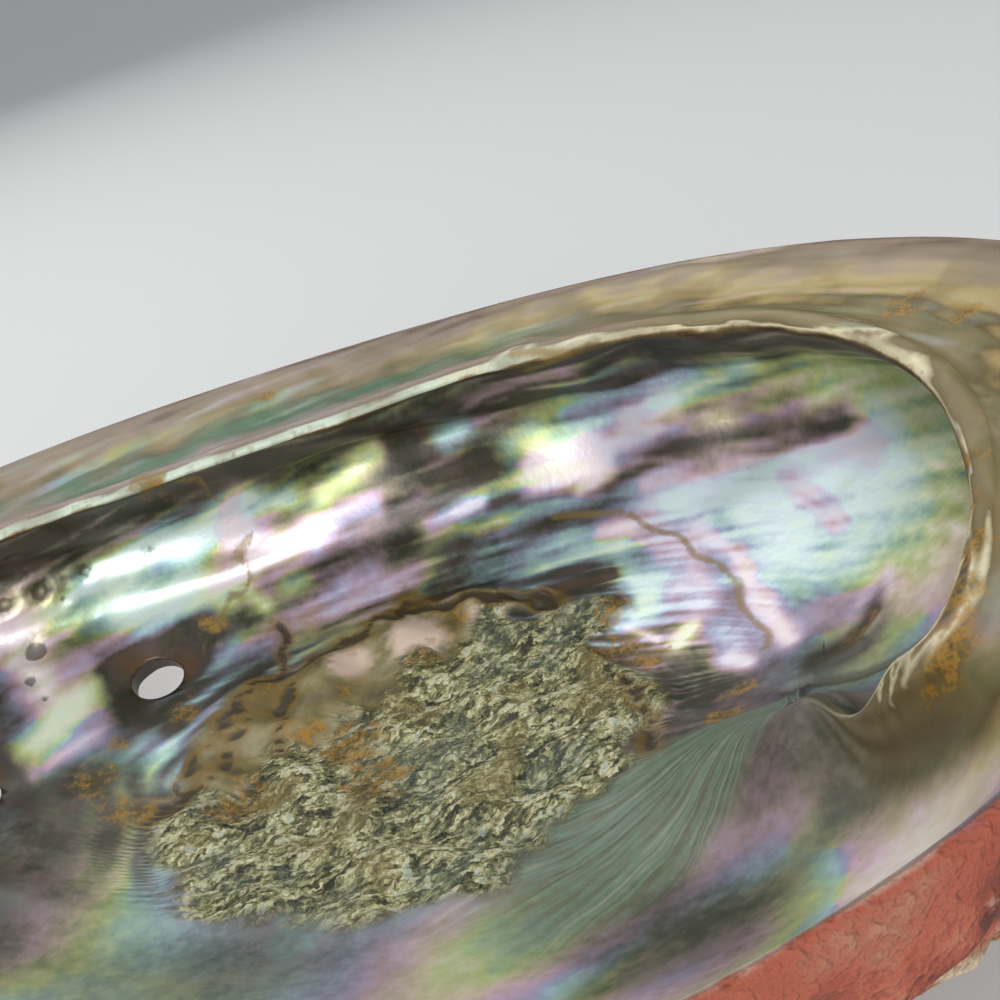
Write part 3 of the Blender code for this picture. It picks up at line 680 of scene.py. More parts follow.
def ledge_relief(points, share):
    """Fine relief of the ledge: growth ridges along it and shallow dimples."""
    bend = 0.35 * waves(points, 45, 91)
    ridges = 0.11 * np.sin(TURN * (4.2 * share + bend))
    ridges += 0.05 * np.sin(TURN * (13 * share + 2 * bend))
    height = (ridges + 0.10 * waves(points, 9, 92) + 0.03 * waves(points, 2.8, 93)) * ease(0.0, 0.15, share)
    return height * (1 - ease(0.85, 1.0, share))


def crust_relief(points, share):
    """Fine relief of the outside: growth lines, lime crust, worm holes and flaked patches."""
    x, y = points[..., 0], points[..., 1]
    out = outline_share(x, y, SPIRE)
    bend = 0.10 * waves(points, 35, 101) + 0.02 * waves(points, 6, 102)
    lines = np.sin(TURN * (34 * out + 6 * bend))
    height = 0.16 * lines + 0.20 * waves(points, 6.5, 103) + 0.12 * waves(points, 2.9, 104)
    number, border, _ = cells(x + waves(points, 8, 105), y + waves(points, 8, 106), 6.5, 31.0)
    crust = (number > 0.72) * ease(0.2, 1.0, border)
    height += 0.45 * crust * (0.7 + 0.5 * waves(points, 1.9, 107))
    number, _, middle = cells(x, y, 5.0, 57.0)
    height -= 0.55 * (number > 0.62) * (1 - ease(0.35, 0.8, middle))
    return height * ease(1.0, 0.97, share) * (points[..., 2] > 0.01)


def hue_field(points, turn, down):
    """Hue and paleness of the nacre: cloudy and streaked, with the strokes painted over it. The paleness is
    partly the nacre's own lustre and partly painted highlight and shade.

    The hue goes round, so it is kept as the two parts of a turning arrow.
    """
    from_pole = np.hypot(points[..., 0] - HOLLOW_POLE[0], points[..., 1] - HOLLOW_POLE[1])
    trough = ease(-28, -40, points[..., 0]) * ease(36, 28, points[..., 1])
    streaked = ease(4, 24, from_pole) * ease(-8, 12, points[..., 1]) * (1 - 0.85 * trough)
    long_streaks = streaks(turn, down, 22, 3.4, 61) * streaked
    fine_streaks = streaks(turn, down, 36, 1.6, 67) * streaked
    hue = TURN * (0.30 + 0.35 * waves(points, 42, 111) + 0.12 * long_streaks)
    east, north = np.cos(hue), np.sin(hue)
    pale = 0.20 + 0.22 * ease(0, -25, points[..., 1]) + 0.10 * waves(points, 24, 113) + 0.12 * long_streaks
    ragged = 0.12 * long_streaks + 0.06 * fine_streaks + 0.12 * waves(points, 7.0, 118)
    # each stroke lays its hue and paleness: painted highlight where pale, painted brown shadow below nought
    for hue, lightness, reach, path in STROKES:
        gap = np.maximum(path_reach(points, path) / reach + ragged, 0)
        share = np.exp(-((0.85 * gap) ** 1.7))
        east = east + share * (math.cos(TURN * hue) - east)
        north = north + share * (math.sin(TURN * hue) - north)
        pale = pale + share * (lightness - pale)
    turned = TURN * (0.03 * waves(points, 5, 115) + 0.03 * fine_streaks)
    cosine, sine = np.cos(turned), np.sin(turned)
    pale = pale + 0.07 * fine_streaks + 0.06 * long_streaks
    return east * cosine - north * sine, north * cosine + east * sine, np.clip(pale, -1, 1.2)


def patch_field(x, y, patches):
    """Soft round patches, each 1 at its middle: the strongest of them at every spot."""
    best = np.zeros(x.shape)
    for patch_x, patch_y, reach in patches:
        best = np.maximum(best, bell(np.hypot(x - patch_x, y - patch_y), reach))
    return best


def stain_field(x, y, ring):
    """Amber stains in the hollow and on the ledge, broken up by small patches."""
    on_shelf = (ring > RIM_RING) & (ring < EDGE_RING + 5)
    stain = np.maximum(patch_field(x, y, GOLD_PATCHES), on_shelf * patch_field(x, y, LEDGE_PATCHES))
    stain = stain * (0.85 + 0.35 * mottle(x / 1.9, y / 1.3, 75.0, 1000))
    return stain + 0.14 * mottle(x / 4.5, y / 3.0, 77.0, 1000)


def line_fields(grid, inside, depth):
    """Distances to the nearest brown crack and to the nearest golden line of the hollow."""
    x, y = grid[..., 0], grid[..., 1]
    crack_gap = np.full(x.shape, NO_LINE)
    for number, crack in enumerate(CRACKS):
        crack_gap = np.minimum(crack_gap, wandering_gap(grid, crack, number))
    gold_gap, _ = path_gap(x + 0.6 * waves(grid, 9, 121), y, GOLD_CURVE)
    gold_gap = np.minimum(gold_gap, path_gap(x + 0.5 * waves(grid, 5, 122), y, GOLD_CRACK)[0])
    gold_gap = np.where(inside, np.clip(gold_gap, -1, NO_LINE), NO_LINE)
    return np.where(inside & (depth > 0.6), crack_gap, NO_LINE), gold_gap


def way_down(grid):
    """Share of the way round the shell, and the distance down the ribs from the rim."""
    steps = np.linalg.norm(np.diff(grid, axis=0), axis=2)
    down = np.concatenate([np.zeros((1, RIBS)), np.cumsum(steps, axis=0)])
    return np.broadcast_to(np.arange(RIBS) / RIBS, down.shape), down - down[RIM_RING]


def ledge_bands(grid, turn, down, ledge):
    """Place across the ledge, from the rim to the bead on its edge, and 1 where the ledge lies. The bead's
    band is a painted highlight, and the band past it a brown line, painted partly as shadow under the edge.
    """
    crest = down[EDGE_RING + LEDGE_ROWS[-1] - 3]
    across = 0.8 * np.clip(down / (crest - 1.5), -0.5, 1)
    across = across + (0.07 * waves(grid, 30, 131) + 0.04 * waves(grid, 9, 132)) * ease(0, 0.2, across)
    across = across + 0.025 * streaks(turn, down, 30, 2.0, 71)
    past = down - crest + 0.4 + 0.15 * waves(grid, 6, 133)
    narrow = 0.6 * ease(30, 50, grid[..., 0])
    # the bead's band takes the painted highlight at 0.90, and past the crest the band moves on to the
    # painted shadow at 0.97
    bead = ease(-1.7 + 1.8 * narrow, -1.0 + 1.2 * narrow, past)
    across = across + (0.90 - across) * bead + 0.07 * ease(0.0, 0.5, past)
    return across, ledge * (down > 0) * (1 - ease(0.9, 1.5, past))


def crust_fields(grid, share, fine):
    """How chalky, limy and green the outside is."""
    chalk = 0.5 + 0.16 * np.sin(TURN * (9 * share + 0.3 * waves(grid, 50, 141)))
    chalk = chalk + 0.14 * waves(grid, 15, 142) + 0.12 * waves(grid, 5, 143) + 0.3 * fine
    lime = 0.4 + 0.25 * waves(grid, 24, 144) + 0.08 * waves(grid, 9, 145)
    return chalk, lime, 0.4 + 0.25 * waves(grid, 33, 146)


def shell_skin():
    """The fine skin's points, and the fields that its materials read at each of them."""
    turns = np.arange(RIBS) / RIBS * 360 - 180
    angles = turns - CROWDING * np.sin(np.radians(turns - CROWDED_SIDE))
    grid = shell_grid(angles)
    x, y = grid[..., 0], grid[..., 1]
    ring = np.arange(len(grid))[:, None] * np.ones(RIBS)
    outside, inside = ring < RIM_RING, ring > EDGE_RING
    depth = np.clip((ring - EDGE_RING) / (FOOT_RING - EDGE_RING), 0, 1)
    ledge = ledge_share(angles)
    shelf = np.clip((ring - RIM_RING) / (EDGE_RING - RIM_RING), 0, 1) * ledge
    share = outline_share(x, y, SPIRE)
    low = ease(0.55, 1.0, depth)
    scar, rough = (mask * low * inside for mask in scar_masks(grid))

    main = np.where(outside, outside_relief(grid), 0) + np.where(inside, inside_relief(grid, depth), 0)
    fine = np.where(outside, crust_relief(grid, share), 0)
    fine = fine + np.where(inside, wall_relief(grid, depth) + low * floor_relief(grid, (scar, rough)), 0)
    fine = fine + np.where(inside, low * coil_relief(grid), 0)
    fine = fine + np.where(~outside & ~inside, ledge_relief(grid, shelf), 0)
    height = main + fine
    height[-1], height[0] = height[-2].mean(), height[1].mean()
    normal = outward(grid)
    normal[-1], normal[0] = (0, 0, 1), (0, 0, -1)

    turn, down = way_down(grid)
    across, on_ledge = ledge_bands(grid, turn, down, ledge)
    hue_east, hue_north, pale = hue_field(grid, turn, down)
    chalk, lime, green = crust_fields(grid, share, fine)
    fields = {
        "growth": (across, ring / LAST_RING),
        "hue": (np.where(outside, lime, hue_east), np.where(outside, green, hue_north)),
        "tone": (np.where(outside, chalk, pale), fine),
        "lines": line_fields(grid, inside, depth),
        "scar": (scar, rough),
        "stains": (stain_field(x, y, ring) * ~outside, patch_field(x, y, CREAM_PATCHES) * inside),
        "threads": (thread_mask(x, y) * low * inside * (1 - scar), on_ledge),
    }
    return grid + normal * height[..., None], fields


def add_skin(name, grid, fields, box=None):
    """Closed mesh from rings x ribs x 3 points whose first and last rings are single points.

    Faces are quads between neighbouring rings and ribs, with a fan of triangles
    at each end. Each field is a pair of rings-by-ribs arrays and becomes a UV map.
    """
    rings, ribs = grid.shape[:2]
    points = np.concatenate([grid[:1, 0], grid[1:-1].reshape(-1, 3), grid[-1:, 0]])
    if box is not None:
        points = np.clip(points, *box)
    index = 1 + np.arange(rings - 2)[:, None] * ribs + np.arange(ribs)
    beside = np.roll(index, -1, axis=1)
    quads = np.stack([index[:-1], beside[:-1], beside[1:], index[1:]], -1).reshape(-1, 4)
    bottom = np.stack([np.zeros(ribs, int), beside[0], index[0]], -1)
    top = np.stack([index[-1], beside[-1], np.full(ribs, len(points) - 1)], -1)
    corners = np.concatenate([quads.ravel(), bottom.ravel(), top.ravel()])
    sizes = np.concatenate([np.full(len(quads), 4), np.full(2 * ribs, 3)])
    mesh = bpy.data.meshes.new(name)
    mesh.vertices.add(len(points))
    mesh.vertices.foreach_set("co", (points * MM).astype(np.float32).ravel())
    mesh.loops.add(len(corners))
    mesh.loops.foreach_set("vertex_index", corners.astype(np.int32))
    mesh.polygons.add(len(sizes))
    mesh.polygons.foreach_set("loop_start", np.concatenate([[0], np.cumsum(sizes)[:-1]]).astype(np.int32))
    mesh.update(calc_edges=True)

    def spread(values):
        """A rings-by-ribs array read at every corner of the faces."""
        left, right = values, np.roll(values, -1, axis=1)
        inner = np.stack([left[1:-2], right[1:-2], right[2:-1], left[2:-1]], -1).ravel()
        low = np.stack([left[0], right[1], left[1]], -1).ravel()
        high = np.stack([left[-2], right[-2], left[-1]], -1).ravel()
        return np.concatenate([inner, low, high])

    for key, (first, second) in fields.items():
        layer = mesh.uv_layers.new(name=key)
        pairs = np.stack([spread(first), spread(second)], -1).astype(np.float32)
        layer.data.foreach_set("uv", pairs.ravel())
    mesh.validate()
    mesh.shade_smooth()
    piece = bpy.data.objects.new(name, mesh)
    bpy.context.scene.collection.objects.link(piece)
    return piece


# What the nacre's fields hold inside the pores' bores: a paleness below nought, painted brown shade
PORE_FIELDS = {
    "growth": (1.1, (FOOT_RING + 10) / LAST_RING),
    "hue": (0.2, 0.98),
    "tone": (-0.25, 0.0),
    "lines": (NO_LINE, NO_LINE),
    "scar": (0.0, 0.0),
    "stains": (0.1, 0.0),
    "threads": (0.0, 0.0),
}


def add_pore_rods(fields):
    """One leaning oval rod through the wall at each open pore, with the fields of the nacre around it."""
    lean = np.array(PORE_LEAN) / np.linalg.norm(PORE_LEAN)
    rods = []
    for number, (x, y, length, width) in enumerate(OPEN_PORES, 1):
        across = np.cross(lean, PORE_LONG_WAY)
        across /= np.linalg.norm(across)
        along = np.cross(across, lean)
        turn = np.linspace(0, TURN, ROD_RIBS, endpoint=False)
        oval = 0.5 * length * np.cos(turn)[:, None] * along - 0.5 * width * np.sin(turn)[:, None] * across
        steps = np.concatenate([[-ROD_DEPTH], np.linspace(-10, ROD_DEPTH, 44), [ROD_DEPTH + 2]])
        middle = np.array((x, y, hollow_height(x, y)))
        grid = middle + lean * -steps[:, None, None] + oval * np.ones((len(steps), 1, 1))
        grid[0], grid[-1] = middle - lean * steps[0], middle - lean * steps[-1]
        plain = {key: [np.full(grid.shape[:2], value) for value in PORE_FIELDS[key]] for key in fields}
        rods.append(add_skin(f"pore_rod_{number}", grid, plain))
    return rods


def cut_pores(shell, rods):
    """Cuts the rods out of the shell and keeps the result as the shell's own mesh."""
    for rod in rods:
        cut = shell.modifiers.new(rod.name, "BOOLEAN")
        cut.operation = "DIFFERENCE"
        cut.solver = "EXACT"
        cut.object = rod
    bpy.context.view_layer.update()
    cut_shell = shell.evaluated_get(bpy.context.evaluated_depsgraph_get())
    mesh = bpy.data.meshes.new_from_object(cut_shell)
    shell.modifiers.clear()
    shell.data = mesh
    mesh.shade_smooth()
    for rod in rods:
        bpy.data.objects.remove(rod)


def tint(red, green, blue):
    """A colour given as 0 to 255 on screen, as the linear values that a material takes."""
    shares = np.array((red, green, blue)) / 255
    linear = np.where(shares < 0.04045, shares / 12.92, ((shares + 0.055) / 1.055) ** 2.4)
    return (*(float(part) for part in linear), 1.0)


class Wire:
    """A socket of a material. Arithmetic on it adds Math nodes."""

    def __init__(self, tree, socket):
        self.tree = tree
        self.socket = socket

    def node(self, kind, settings, inputs, output=0):
        """Adds a node: first its settings, then the values or links of its inputs; gives one output."""
        made = self.tree.nodes.new(kind)
        for name, value in settings.items():
            if name == "stops":
                set_stops(made.color_ramp, value)
            else:
                setattr(made, name, value)
        for key, value in inputs.items():
            if isinstance(value, Wire):
                self.tree.links.new(value.socket, made.inputs[key])
            else:
                made.inputs[key].default_value = value
        return Wire(self.tree, made.outputs[output])

    def math(self, operation, *values):
        return self.node("ShaderNodeMath", {"operation": operation}, dict(enumerate(values)))

    def __add__(self, other):
        return self.math("ADD", self, other)

    __radd__ = __add__

    def __sub__(self, other):
        return self.math("SUBTRACT", self, other)

    def __rsub__(self, other):
        return self.math("SUBTRACT", other, self)

    def __mul__(self, other):
        return self.math("MULTIPLY", self, other)

    __rmul__ = __mul__

    def __truediv__(self, other):
        return self.math("DIVIDE", self, other)

    def __rtruediv__(self, other):
        return self.math("DIVIDE", other, self)

    def fraction(self):
        return self.math("FRACT", self)

    def rise(self, low, high):
        """0 at low and 1 at high, along an S-shaped curve."""
        inputs = {"Value": self, "From Min": low, "From Max": high}
        return self.node("ShaderNodeMapRange", {"interpolation_type": "SMOOTHSTEP"}, inputs)

    def ramp(self, stops):
        return self.node("ShaderNodeValToRGB", {"stops": stops}, {0: self})

    def noise(self, size, detail=2.0, roughness=0.5, stretch=(1, 1, 1)):
        """Cloudy noise read here: lumps about size millimetres apart, stretched along each axis."""
        scale = tuple(1 / (size * part) for part in stretch)
        where = self.scaled(scale)
        return where.node("ShaderNodeTexNoise", {}, {"Vector": where, "Scale": 1.0, "Detail": detail,
                                                     "Roughness": roughness})

    def scaled(self, vector):
        return self.node("ShaderNodeVectorMath", {"operation": "MULTIPLY"}, {0: self, 1: vector})

    def moved(self, vector):
        return self.node("ShaderNodeVectorMath", {"operation": "ADD"}, {0: self, 1: vector})

    def other(self, name):
        """Another output of the node that this socket belongs to."""
        return Wire(self.tree, self.socket.node.outputs[name])

    def part(self, number):
        return self.node("ShaderNodeSeparateXYZ", {}, {0: self}, number)


def set_stops(ramp, stops):
    """Colours along a ramp: place, colour."""
    while len(ramp.elements) < len(stops):
        ramp.elements.new(0.5)
    for element, (place, colour) in zip(ramp.elements, stops):
        element.position = place
        element.color = colour


def mix(share, first, second):
    """Blends two colours; share is a Wire."""
    return share.node("ShaderNodeMix", {"data_type": "RGBA"}, {0: share, 6: first, 7: second}, 2)


HUES = (
    (0.00, tint(242, 204, 222)),
    (0.14, tint(210, 196, 232)),
    (0.28, tint(188, 204, 234)),
    (0.42, tint(194, 234, 240)),
    (0.56, tint(192, 234, 208)),
    (0.70, tint(220, 236, 150)),
    (0.84, tint(242, 224, 190)),
    (1.00, tint(242, 204, 222)),
)
DULL_COLOURS = (
    (0.25, tint(36, 38, 22)),
    (0.42, tint(52, 50, 34)),
    (0.55, tint(76, 64, 58)),
    (0.72, tint(56, 64, 48)),
)
# the stop at 0.90 is a painted highlight on the bead of the rolled edge; those at 0.935 and 0.97 paint a
# brown line under it, partly the shadow of the overhang
LEDGE_COLOURS = (
    (0.00, tint(90, 66, 52)),
    (0.05, tint(114, 98, 82)),
    (0.17, tint(130, 114, 92)),
    (0.28, tint(118, 98, 52)),
    (0.37, tint(76, 76, 40)),
    (0.48, tint(50, 90, 52)),
    (0.58, tint(74, 94, 68)),
    (0.70, tint(130, 114, 108)),
    (0.84, tint(132, 118, 106)),
    (0.90, tint(200, 214, 194)),
    (0.935, tint(140, 116, 76)),
    (0.97, tint(62, 46, 24)),
)
# the same painted highlight at 0.90 and the brown line, partly painted shadow, at 0.935 and 0.97
GOLDEN_LEDGE_COLOURS = (
    (0.00, tint(96, 72, 58)),
    (0.05, tint(126, 108, 90)),
    (0.19, tint(146, 130, 104)),
    (0.32, tint(162, 144, 96)),
    (0.44, tint(148, 126, 66)),
    (0.52, tint(88, 74, 24)),
    (0.60, tint(104, 98, 58)),
    (0.72, tint(124, 110, 74)),
    (0.84, tint(106, 90, 52)),
    (0.90, tint(216, 206, 170)),
    (0.935, tint(140, 116, 76)),
    (0.97, tint(62, 46, 24)),
)
CRUST_COLOURS = (
    (0.15, tint(84, 44, 36)),
    (0.40, tint(138, 66, 50)),
    (0.58, tint(162, 90, 68)),
    (0.75, tint(152, 116, 92)),
    (0.95, tint(190, 172, 146)),
)
# dark to pale crumbs; the dark end paints shade in the crevices between them
PEBBLE_COLOURS = (
    (0.16, tint(34, 34, 20)),
    (0.32, tint(78, 76, 46)),
    (0.46, tint(122, 120, 78)),
    (0.58, tint(166, 160, 112)),
    (0.74, tint(218, 212, 174)),
    (0.90, tint(152, 174, 162)),
)
SMOOTH_SCAR_COLOURS = (
    (0.35, tint(84, 74, 34)),
    (0.48, tint(120, 110, 62)),
    (0.60, tint(152, 142, 104)),
    (0.72, tint(124, 122, 82)),
)
OCHRE_COLOURS = (
    (0.36, tint(74, 58, 16)),
    (0.50, tint(112, 88, 28)),
    (0.66, tint(156, 114, 34)),
)
STRAND_COLOURS = (
    (0.15, tint(62, 70, 50)),
    (0.40, tint(96, 102, 76)),
    (0.62, tint(102, 130, 108)),
    (0.85, tint(156, 150, 120)),
)


def nacre_colours(hue, pale, cloudy, grainy):
    """Nacre, its pastel hues alone, and its gleam: a ring of pastels over a dull grey-brown. The gleam
    paints highlights, near white at its height, and a paleness below nought paints brown shadow.
    """
    angle = hue.part(1).math("ARCTAN2", hue.part(1), hue.part(0)) / TURN
    pastel = (angle + cloudy * 0.16 + grainy * 0.14 + 2.0).fraction().ramp(HUES)
    dull = (cloudy + grainy * 0.3 + 0.5).ramp(DULL_COLOURS)
    gleam = (pale + grainy * 0.22 + cloudy * 0.2).rise(0.05, 0.95)
    # painted highlight: the dull ground turns to pastel and then near white as the gleam rises
    nacre = mix(gleam, dull, mix(gleam.rise(0.55, 1.0) * 0.55, pastel, tint(244, 246, 244)))
    # painted brown shadow where the paleness is below nought
    return mix((0 - pale).rise(0.0, 0.9), nacre, tint(96, 64, 18)), pastel, gleam


def ledge_colours(across, east, pale, pastel, cloudy, grainy):
    """Bands along the ledge: beige, olive gold, green and a pale bead, which is a painted highlight, with a
    brown line past it that is partly painted shadow.
    """
    band = across + grainy * 0.06
    golden = (east + cloudy * 40).rise(5.0, 45.0)
    ledge = mix(golden, band.ramp(LEDGE_COLOURS), band.ramp(GOLDEN_LEDGE_COLOURS))
    ledge = mix((pale - 0.28 + grainy * 0.3).rise(0.0, 0.5) * 0.25, ledge, pastel)
    return mix((grainy * 0.2 - cloudy).rise(-0.06, 0.12) * 0.45, ledge, tint(112, 96, 66))


def scar_colours(place, relief, cream, cloudy, grainy, specky):
    """The scar's dark and pale crumbs, with painted shade in the crevices between them, the smooth amber
    and cream beside them, and how far crumbs rise.
    """
    turned = place.node("ShaderNodeVectorRotate", {"rotation_type": "Z_AXIS"},
                        {"Vector": place, "Angle": -GRAIN_TURN})
    bent = turned.moved(cloudy * 3.0 + grainy * 2.2)
    drawn_out = bent.scaled((0.55, 1.15, 1.0))
    pebble = drawn_out.node("ShaderNodeTexVoronoi", {"feature": "F1", "voronoi_dimensions": "2D"},
                            {"Vector": drawn_out, "Scale": 1.0, "Randomness": 1.0}, "Color")
    nearness = pebble.other("Distance")
    crumbs = bent.noise(0.75, 2.0, 0.6, stretch=(1.7, 0.75, 1.0))
    crumb_tone_and_shade = pebble.part(0) * 0.35 + grainy * 0.45 + crumbs * 1.25 + specky * 0.3
    # painted shade: lower relief and the borders between crumbs are darker, higher relief paler
    crumb_tone_and_shade = crumb_tone_and_shade + relief * 0.30 - nearness.rise(0.45, 0.85) * 0.22 - 0.275
    pebbles = crumb_tone_and_shade.ramp(PEBBLE_COLOURS)
    pebbles = mix((cloudy - 0.02).rise(0.0, 0.12) * 0.30, pebbles, tint(90, 110, 98))
    pebbles = mix((-0.04 - cloudy).rise(0.0, 0.10) * 0.40, pebbles, tint(140, 124, 70))
    smooth = (cloudy + grainy * 0.25 + 0.5).ramp(SMOOTH_SCAR_COLOURS)
    smooth = mix((cream + grainy * 0.4).rise(0.40, 0.85) * 0.9, smooth, tint(220, 194, 174))
    rise = grainy * 0.30 + crumbs * 0.75 + specky * 0.08 - nearness * 0.30 + 0.19
    return pebbles, smooth, rise


def strand_colours(place, cloudy, grainy):
    """Growth threads: fine dark and teal lines that fan out from the fold's end."""
    east = THREAD_ORIGIN[0] - place.part(0)
    north = THREAD_ORIGIN[1] - place.part(1)
    fan = east.math("ARCTAN2", north, east)
    strand_place = {0: fan * 34 + cloudy * 4, 1: (north - east) * 0.10}
    strand = fan.node("ShaderNodeCombineXYZ", {}, strand_place)
    return (strand.noise(1.0, 2.0, 0.7) * 1.3 + grainy * 0.3 - 0.15).ramp(STRAND_COLOURS)


def crust_colours(hue, pale, cloudy, grainy, specky):
    """The outside's brick red, with patches of lime and green."""
    crust = (pale + grainy * 0.5 + specky * 0.2).ramp(CRUST_COLOURS)
    patchy = cloudy * 0.9 + grainy * 0.7
    crust = mix((hue.part(0) + patchy).rise(0.50, 0.85) * 0.75, crust, tint(190, 176, 150))
    return mix((hue.part(1) - patchy).rise(0.45, 0.95) * 0.5, crust, tint(112, 108, 76))


def shell_material():
    """Nacre inside, a thin red lip, and chalky red crust outside, in one surface."""
    material = bpy.data.materials.new("abalone")
    material.use_nodes = True
    tree = material.node_tree
    surface = tree.nodes["Principled BSDF"]
    start = Wire(tree, None)

    def field(name):
        return start.node("ShaderNodeUVMap", {"uv_map": name}, {})

    where = start.node("ShaderNodeTexCoord", {}, {}, "Object")
    place = where.node("ShaderNodeVectorMath", {"operation": "SCALE"}, {0: where, "Scale": 1 / MM})
    growth, hue, tone, lines, scars, stains, threads = (
        field(name) for name in ("growth", "hue", "tone", "lines", "scar", "stains", "threads"))
    across, ring = growth.part(0), growth.part(1) * LAST_RING
    pale, relief = tone.part(0), tone.part(1)
    crack_gap, gold_gap = lines.part(0), lines.part(1)
    scar, rough = scars.part(0), scars.part(1)
    on_ledge = threads.part(1)

    # Lumps of three sizes, each about nought
    cloudy = place.noise(8.0, 1.0, 0.6) - 0.5
    grainy = place.noise(1.5, 2.0, 0.65) - 0.5
    specky = place.noise(0.45, 1.0, 0.6) - 0.5

    nacre, pastel, gleam = nacre_colours(hue, pale, cloudy, grainy)
    ledge = ledge_colours(across, place.part(0), pale, pastel, cloudy, grainy)
    pebbles, smooth, crumb_rise = scar_colours(place, relief, stains.part(1), cloudy, grainy, specky)
    colour = mix(on_ledge, nacre, ledge)
    colour = mix(scar * 0.9, colour, smooth)
    colour = mix(rough, colour, pebbles)
    colour = mix(threads.part(0) * 0.85, colour, strand_colours(place, cloudy, grainy))

    # Stains, golden lines, cracks with their halo, and painted shade in small hollows
    stain = (stains.part(0) + grainy * 1.1 + specky * 0.3).rise(0.32, 0.92)
    ochre = (grainy + specky * 0.6 + cloudy * 0.5 + 0.5).ramp(OCHRE_COLOURS)
    colour = mix(stain * 0.85, colour, ochre)
    gold = 1 - (gold_gap + grainy * 0.8).rise(0.10, 0.75)
    colour = mix(gold * 0.70, colour, tint(134, 108, 42))
    halo = 1 - (crack_gap + grainy * 1.8).rise(0.6, 2.2)
    colour = mix(halo * 0.7, colour, tint(122, 94, 28))
    crack = 1 - (crack_gap + grainy * 0.8).rise(0.35, 0.95)
    colour = mix(crack * 0.9, colour, tint(48, 38, 18))
    # painted shade: darker brown where the relief sinks below its surroundings
    hollow_shade = (0 - relief - 0.14).rise(0.0, 0.25) * (1 - rough) * (1 - on_ledge)
    colour = mix(hollow_shade * 0.7, colour, tint(58, 48, 26))

    # The outside, and the thin lip that shows from above
    outer = 1 - (ring + grainy * 2.5 + cloudy * 2.0).rise(RIM_RING - 0.5, RIM_RING + 2.5)
    lip = ring.rise(RIM_RING - 5.0, RIM_RING - 2.0) * outer
    crust = mix(lip * 0.7, crust_colours(hue, pale, cloudy, grainy, specky), tint(146, 72, 52))
    colour = mix(outer, colour, crust)

    near = (6 - place.part(1)).rise(0.0, 12.0)
    metal = (1 - outer) * (1 - rough * 0.8) * (1 - stain * 0.8) * (1 - crack) * (0.28 + gleam * 0.16)
    metal = metal * (1 - on_ledge * 0.75) * (1 - scar * 0.6) * (1 - near * 0.7)
    dullness = grainy * 0.16 + on_ledge * 0.10 + scar * 0.14 + outer * 0.32 + stain * 0.2 + 0.43
    dullness = dullness + near * 0.14
    gloss = (1 - outer) * (1 - stain * 0.6) * (1 - on_ledge * 0.7) * (1 - scar * 0.8) * 0.14
    height = grainy * 0.05 + rough * crumb_rise + outer * (grainy * 0.9 + specky * 0.3 + 0.60)
    bump = height.node("ShaderNodeBump", {}, {"Strength": 1.0, "Distance": MM, "Height": height}, "Normal")
    surface.inputs["Coat Roughness"].default_value = 0.36
    looks = {"Base Color": colour, "Metallic": metal, "Roughness": dullness, "Coat Weight": gloss,
             "Normal": bump}
    for name, look in looks.items():
        tree.links.new(look.socket, surface.inputs[name])
    return material


def floor_material():
    material = bpy.data.materials.new("pale_table")
    material.use_nodes = True
    surface = material.node_tree.nodes["Principled BSDF"]
    surface.inputs["Base Color"].default_value = tint(210, 210, 208)
    surface.inputs["Roughness"].default_value = 0.6
    return material


def add_floor():
    """A round table top whose far edge curves up all round, so that no horizon shows."""
    bend = np.linspace(0, math.pi / 2, TABLE_RINGS)
    reach = np.concatenate([[0.0], 1.2 + 0.8 * np.sin(bend)])
    rise = np.concatenate([[0.0], 0.8 - 0.8 * np.cos(bend)])
    turn = np.linspace(0, TURN, TABLE_RIBS, endpoint=False)
    ring = np.stack([np.cos(turn), np.sin(turn), 0 * turn], -1)
    points = reach[1:, None, None] * ring + rise[1:, None, None] * np.array((0, 0, 1))
    index = 1 + np.arange(TABLE_RINGS)[:, None] * TABLE_RIBS + np.arange(TABLE_RIBS)
    beside = np.roll(index, -1, axis=1)
    quads = np.stack([index[:-1], index[1:], beside[1:], beside[:-1]], -1).reshape(-1, 4)
    fan = np.stack([np.zeros(TABLE_RIBS, int), index[0], beside[0]], -1)
    mesh = bpy.data.meshes.new("floor")
    mesh.from_pydata([(0, 0, 0), *points.reshape(-1, 3).tolist()], [], fan.tolist() + quads.tolist())
    mesh.shade_smooth()
    floor = bpy.data.objects.new("floor", mesh)
    bpy.context.scene.collection.objects.link(floor)
    floor.data.materials.append(floor_material())


def add_light(name, place, aim, size, power):
    """Square soft light, its place, aim and size in metres and its power in watts."""
    lamp = bpy.data.lights.new(name, "AREA")
    lamp.size = size
    lamp.energy = power
    light = bpy.data.objects.new(name, lamp)
    light.matrix_world = look_from(place, aim)
    bpy.context.scene.collection.objects.link(light)


def look_from(place, aim):
    """Matrix of something at a place that faces along its own -Z towards its aim."""
    back = np.array(place, float) - np.array(aim, float)
    back /= np.linalg.norm(back)
    right = np.cross((0, 0, 1), back)
    right /= np.linalg.norm(right)
    up = np.cross(back, right)
    return Matrix([(*row, p) for row, p in zip(np.stack([right, up, back], 1), place)] + [(0, 0, 0, 1)])


def add_lights():
    world = bpy.data.worlds.new("studio")
    world.use_nodes = True
    sky = world.node_tree.nodes["Background"]
    sky.inputs["Color"].default_value = (0.90, 0.94, 1.0, 1)
    sky.inputs["Strength"].default_value = 0.47
    bpy.context.scene.world = world
    aim = (0.02, 0.02, 0.02)
    add_light("key", (-0.22, 0.38, 0.72), aim, 0.60, 3.6)
    add_light("front", (0.08, -0.70, 0.36), aim, 0.40, 5.0)
    add_light("back", (-0.45, 0.85, 0.45), aim, 0.5, 0.6)


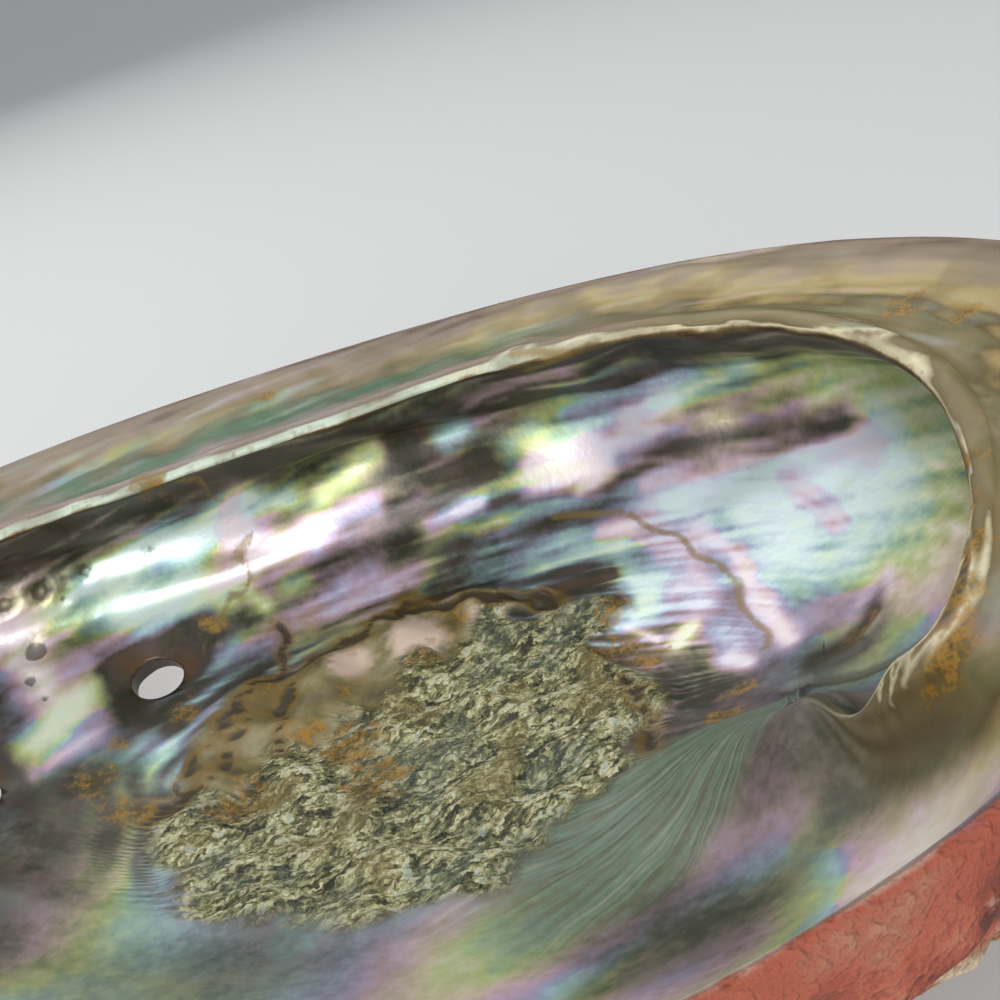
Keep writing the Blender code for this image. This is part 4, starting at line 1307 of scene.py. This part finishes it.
CAMERA_PLACE = (0.028, -0.1114, 0.0947)
CAMERA_YAW = math.radians(-4.0)
CAMERA_PITCH = math.radians(26.1)
CAMERA_ROLL = math.radians(-18.3)
CAMERA_LENS = 47.6


def add_camera():
    """The photograph's view: over the outer lip into the hollow, turned by yaw, pitch and roll."""
    ahead = np.array((math.sin(CAMERA_YAW) * math.cos(CAMERA_PITCH),
                      math.cos(CAMERA_YAW) * math.cos(CAMERA_PITCH), -math.sin(CAMERA_PITCH)))
    level = np.array((math.cos(CAMERA_YAW), -math.sin(CAMERA_YAW), 0.0))
    above = np.cross(level, ahead)
    right = math.cos(CAMERA_ROLL) * level + math.sin(CAMERA_ROLL) * above
    up = np.cross(right, ahead)
    data = bpy.data.cameras.new("camera")
    data.lens = CAMERA_LENS
    data.sensor_width = 36.0
    data.clip_start = 0.005
    camera = bpy.data.objects.new("camera", data)
    axes = np.stack([right, up, -ahead], 1)
    camera.matrix_world = Matrix([(*row, p) for row, p in zip(axes, CAMERA_PLACE)] + [(0, 0, 0, 1)])
    bpy.context.scene.collection.objects.link(camera)
    bpy.context.scene.camera = camera


def add_shell(cad_box):
    """The fine skin with its pores and its material, in place of the CAD node."""
    low, high = (np.array(corner) / MM for corner in cad_box)
    grid, fields = shell_skin()
    shell = add_skin("abalone_skin", grid, fields, (low, high))
    cut_pores(shell, add_pore_rods(fields))
    shell.data.materials.clear()
    shell.data.materials.append(shell_material())
    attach(shell, "root")
    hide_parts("shell")


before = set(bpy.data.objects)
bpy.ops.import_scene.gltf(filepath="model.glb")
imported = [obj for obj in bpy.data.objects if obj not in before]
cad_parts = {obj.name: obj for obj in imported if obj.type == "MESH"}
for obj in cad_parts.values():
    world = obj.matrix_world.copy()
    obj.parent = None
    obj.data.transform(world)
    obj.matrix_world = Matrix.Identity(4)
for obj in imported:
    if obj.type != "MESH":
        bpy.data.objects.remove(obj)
cad_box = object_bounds()
add_camera()
add_shell(cad_box)
add_floor()
add_lights()
bpy.context.scene.view_settings.view_transform = "Standard"
bpy.context.view_layer.update()
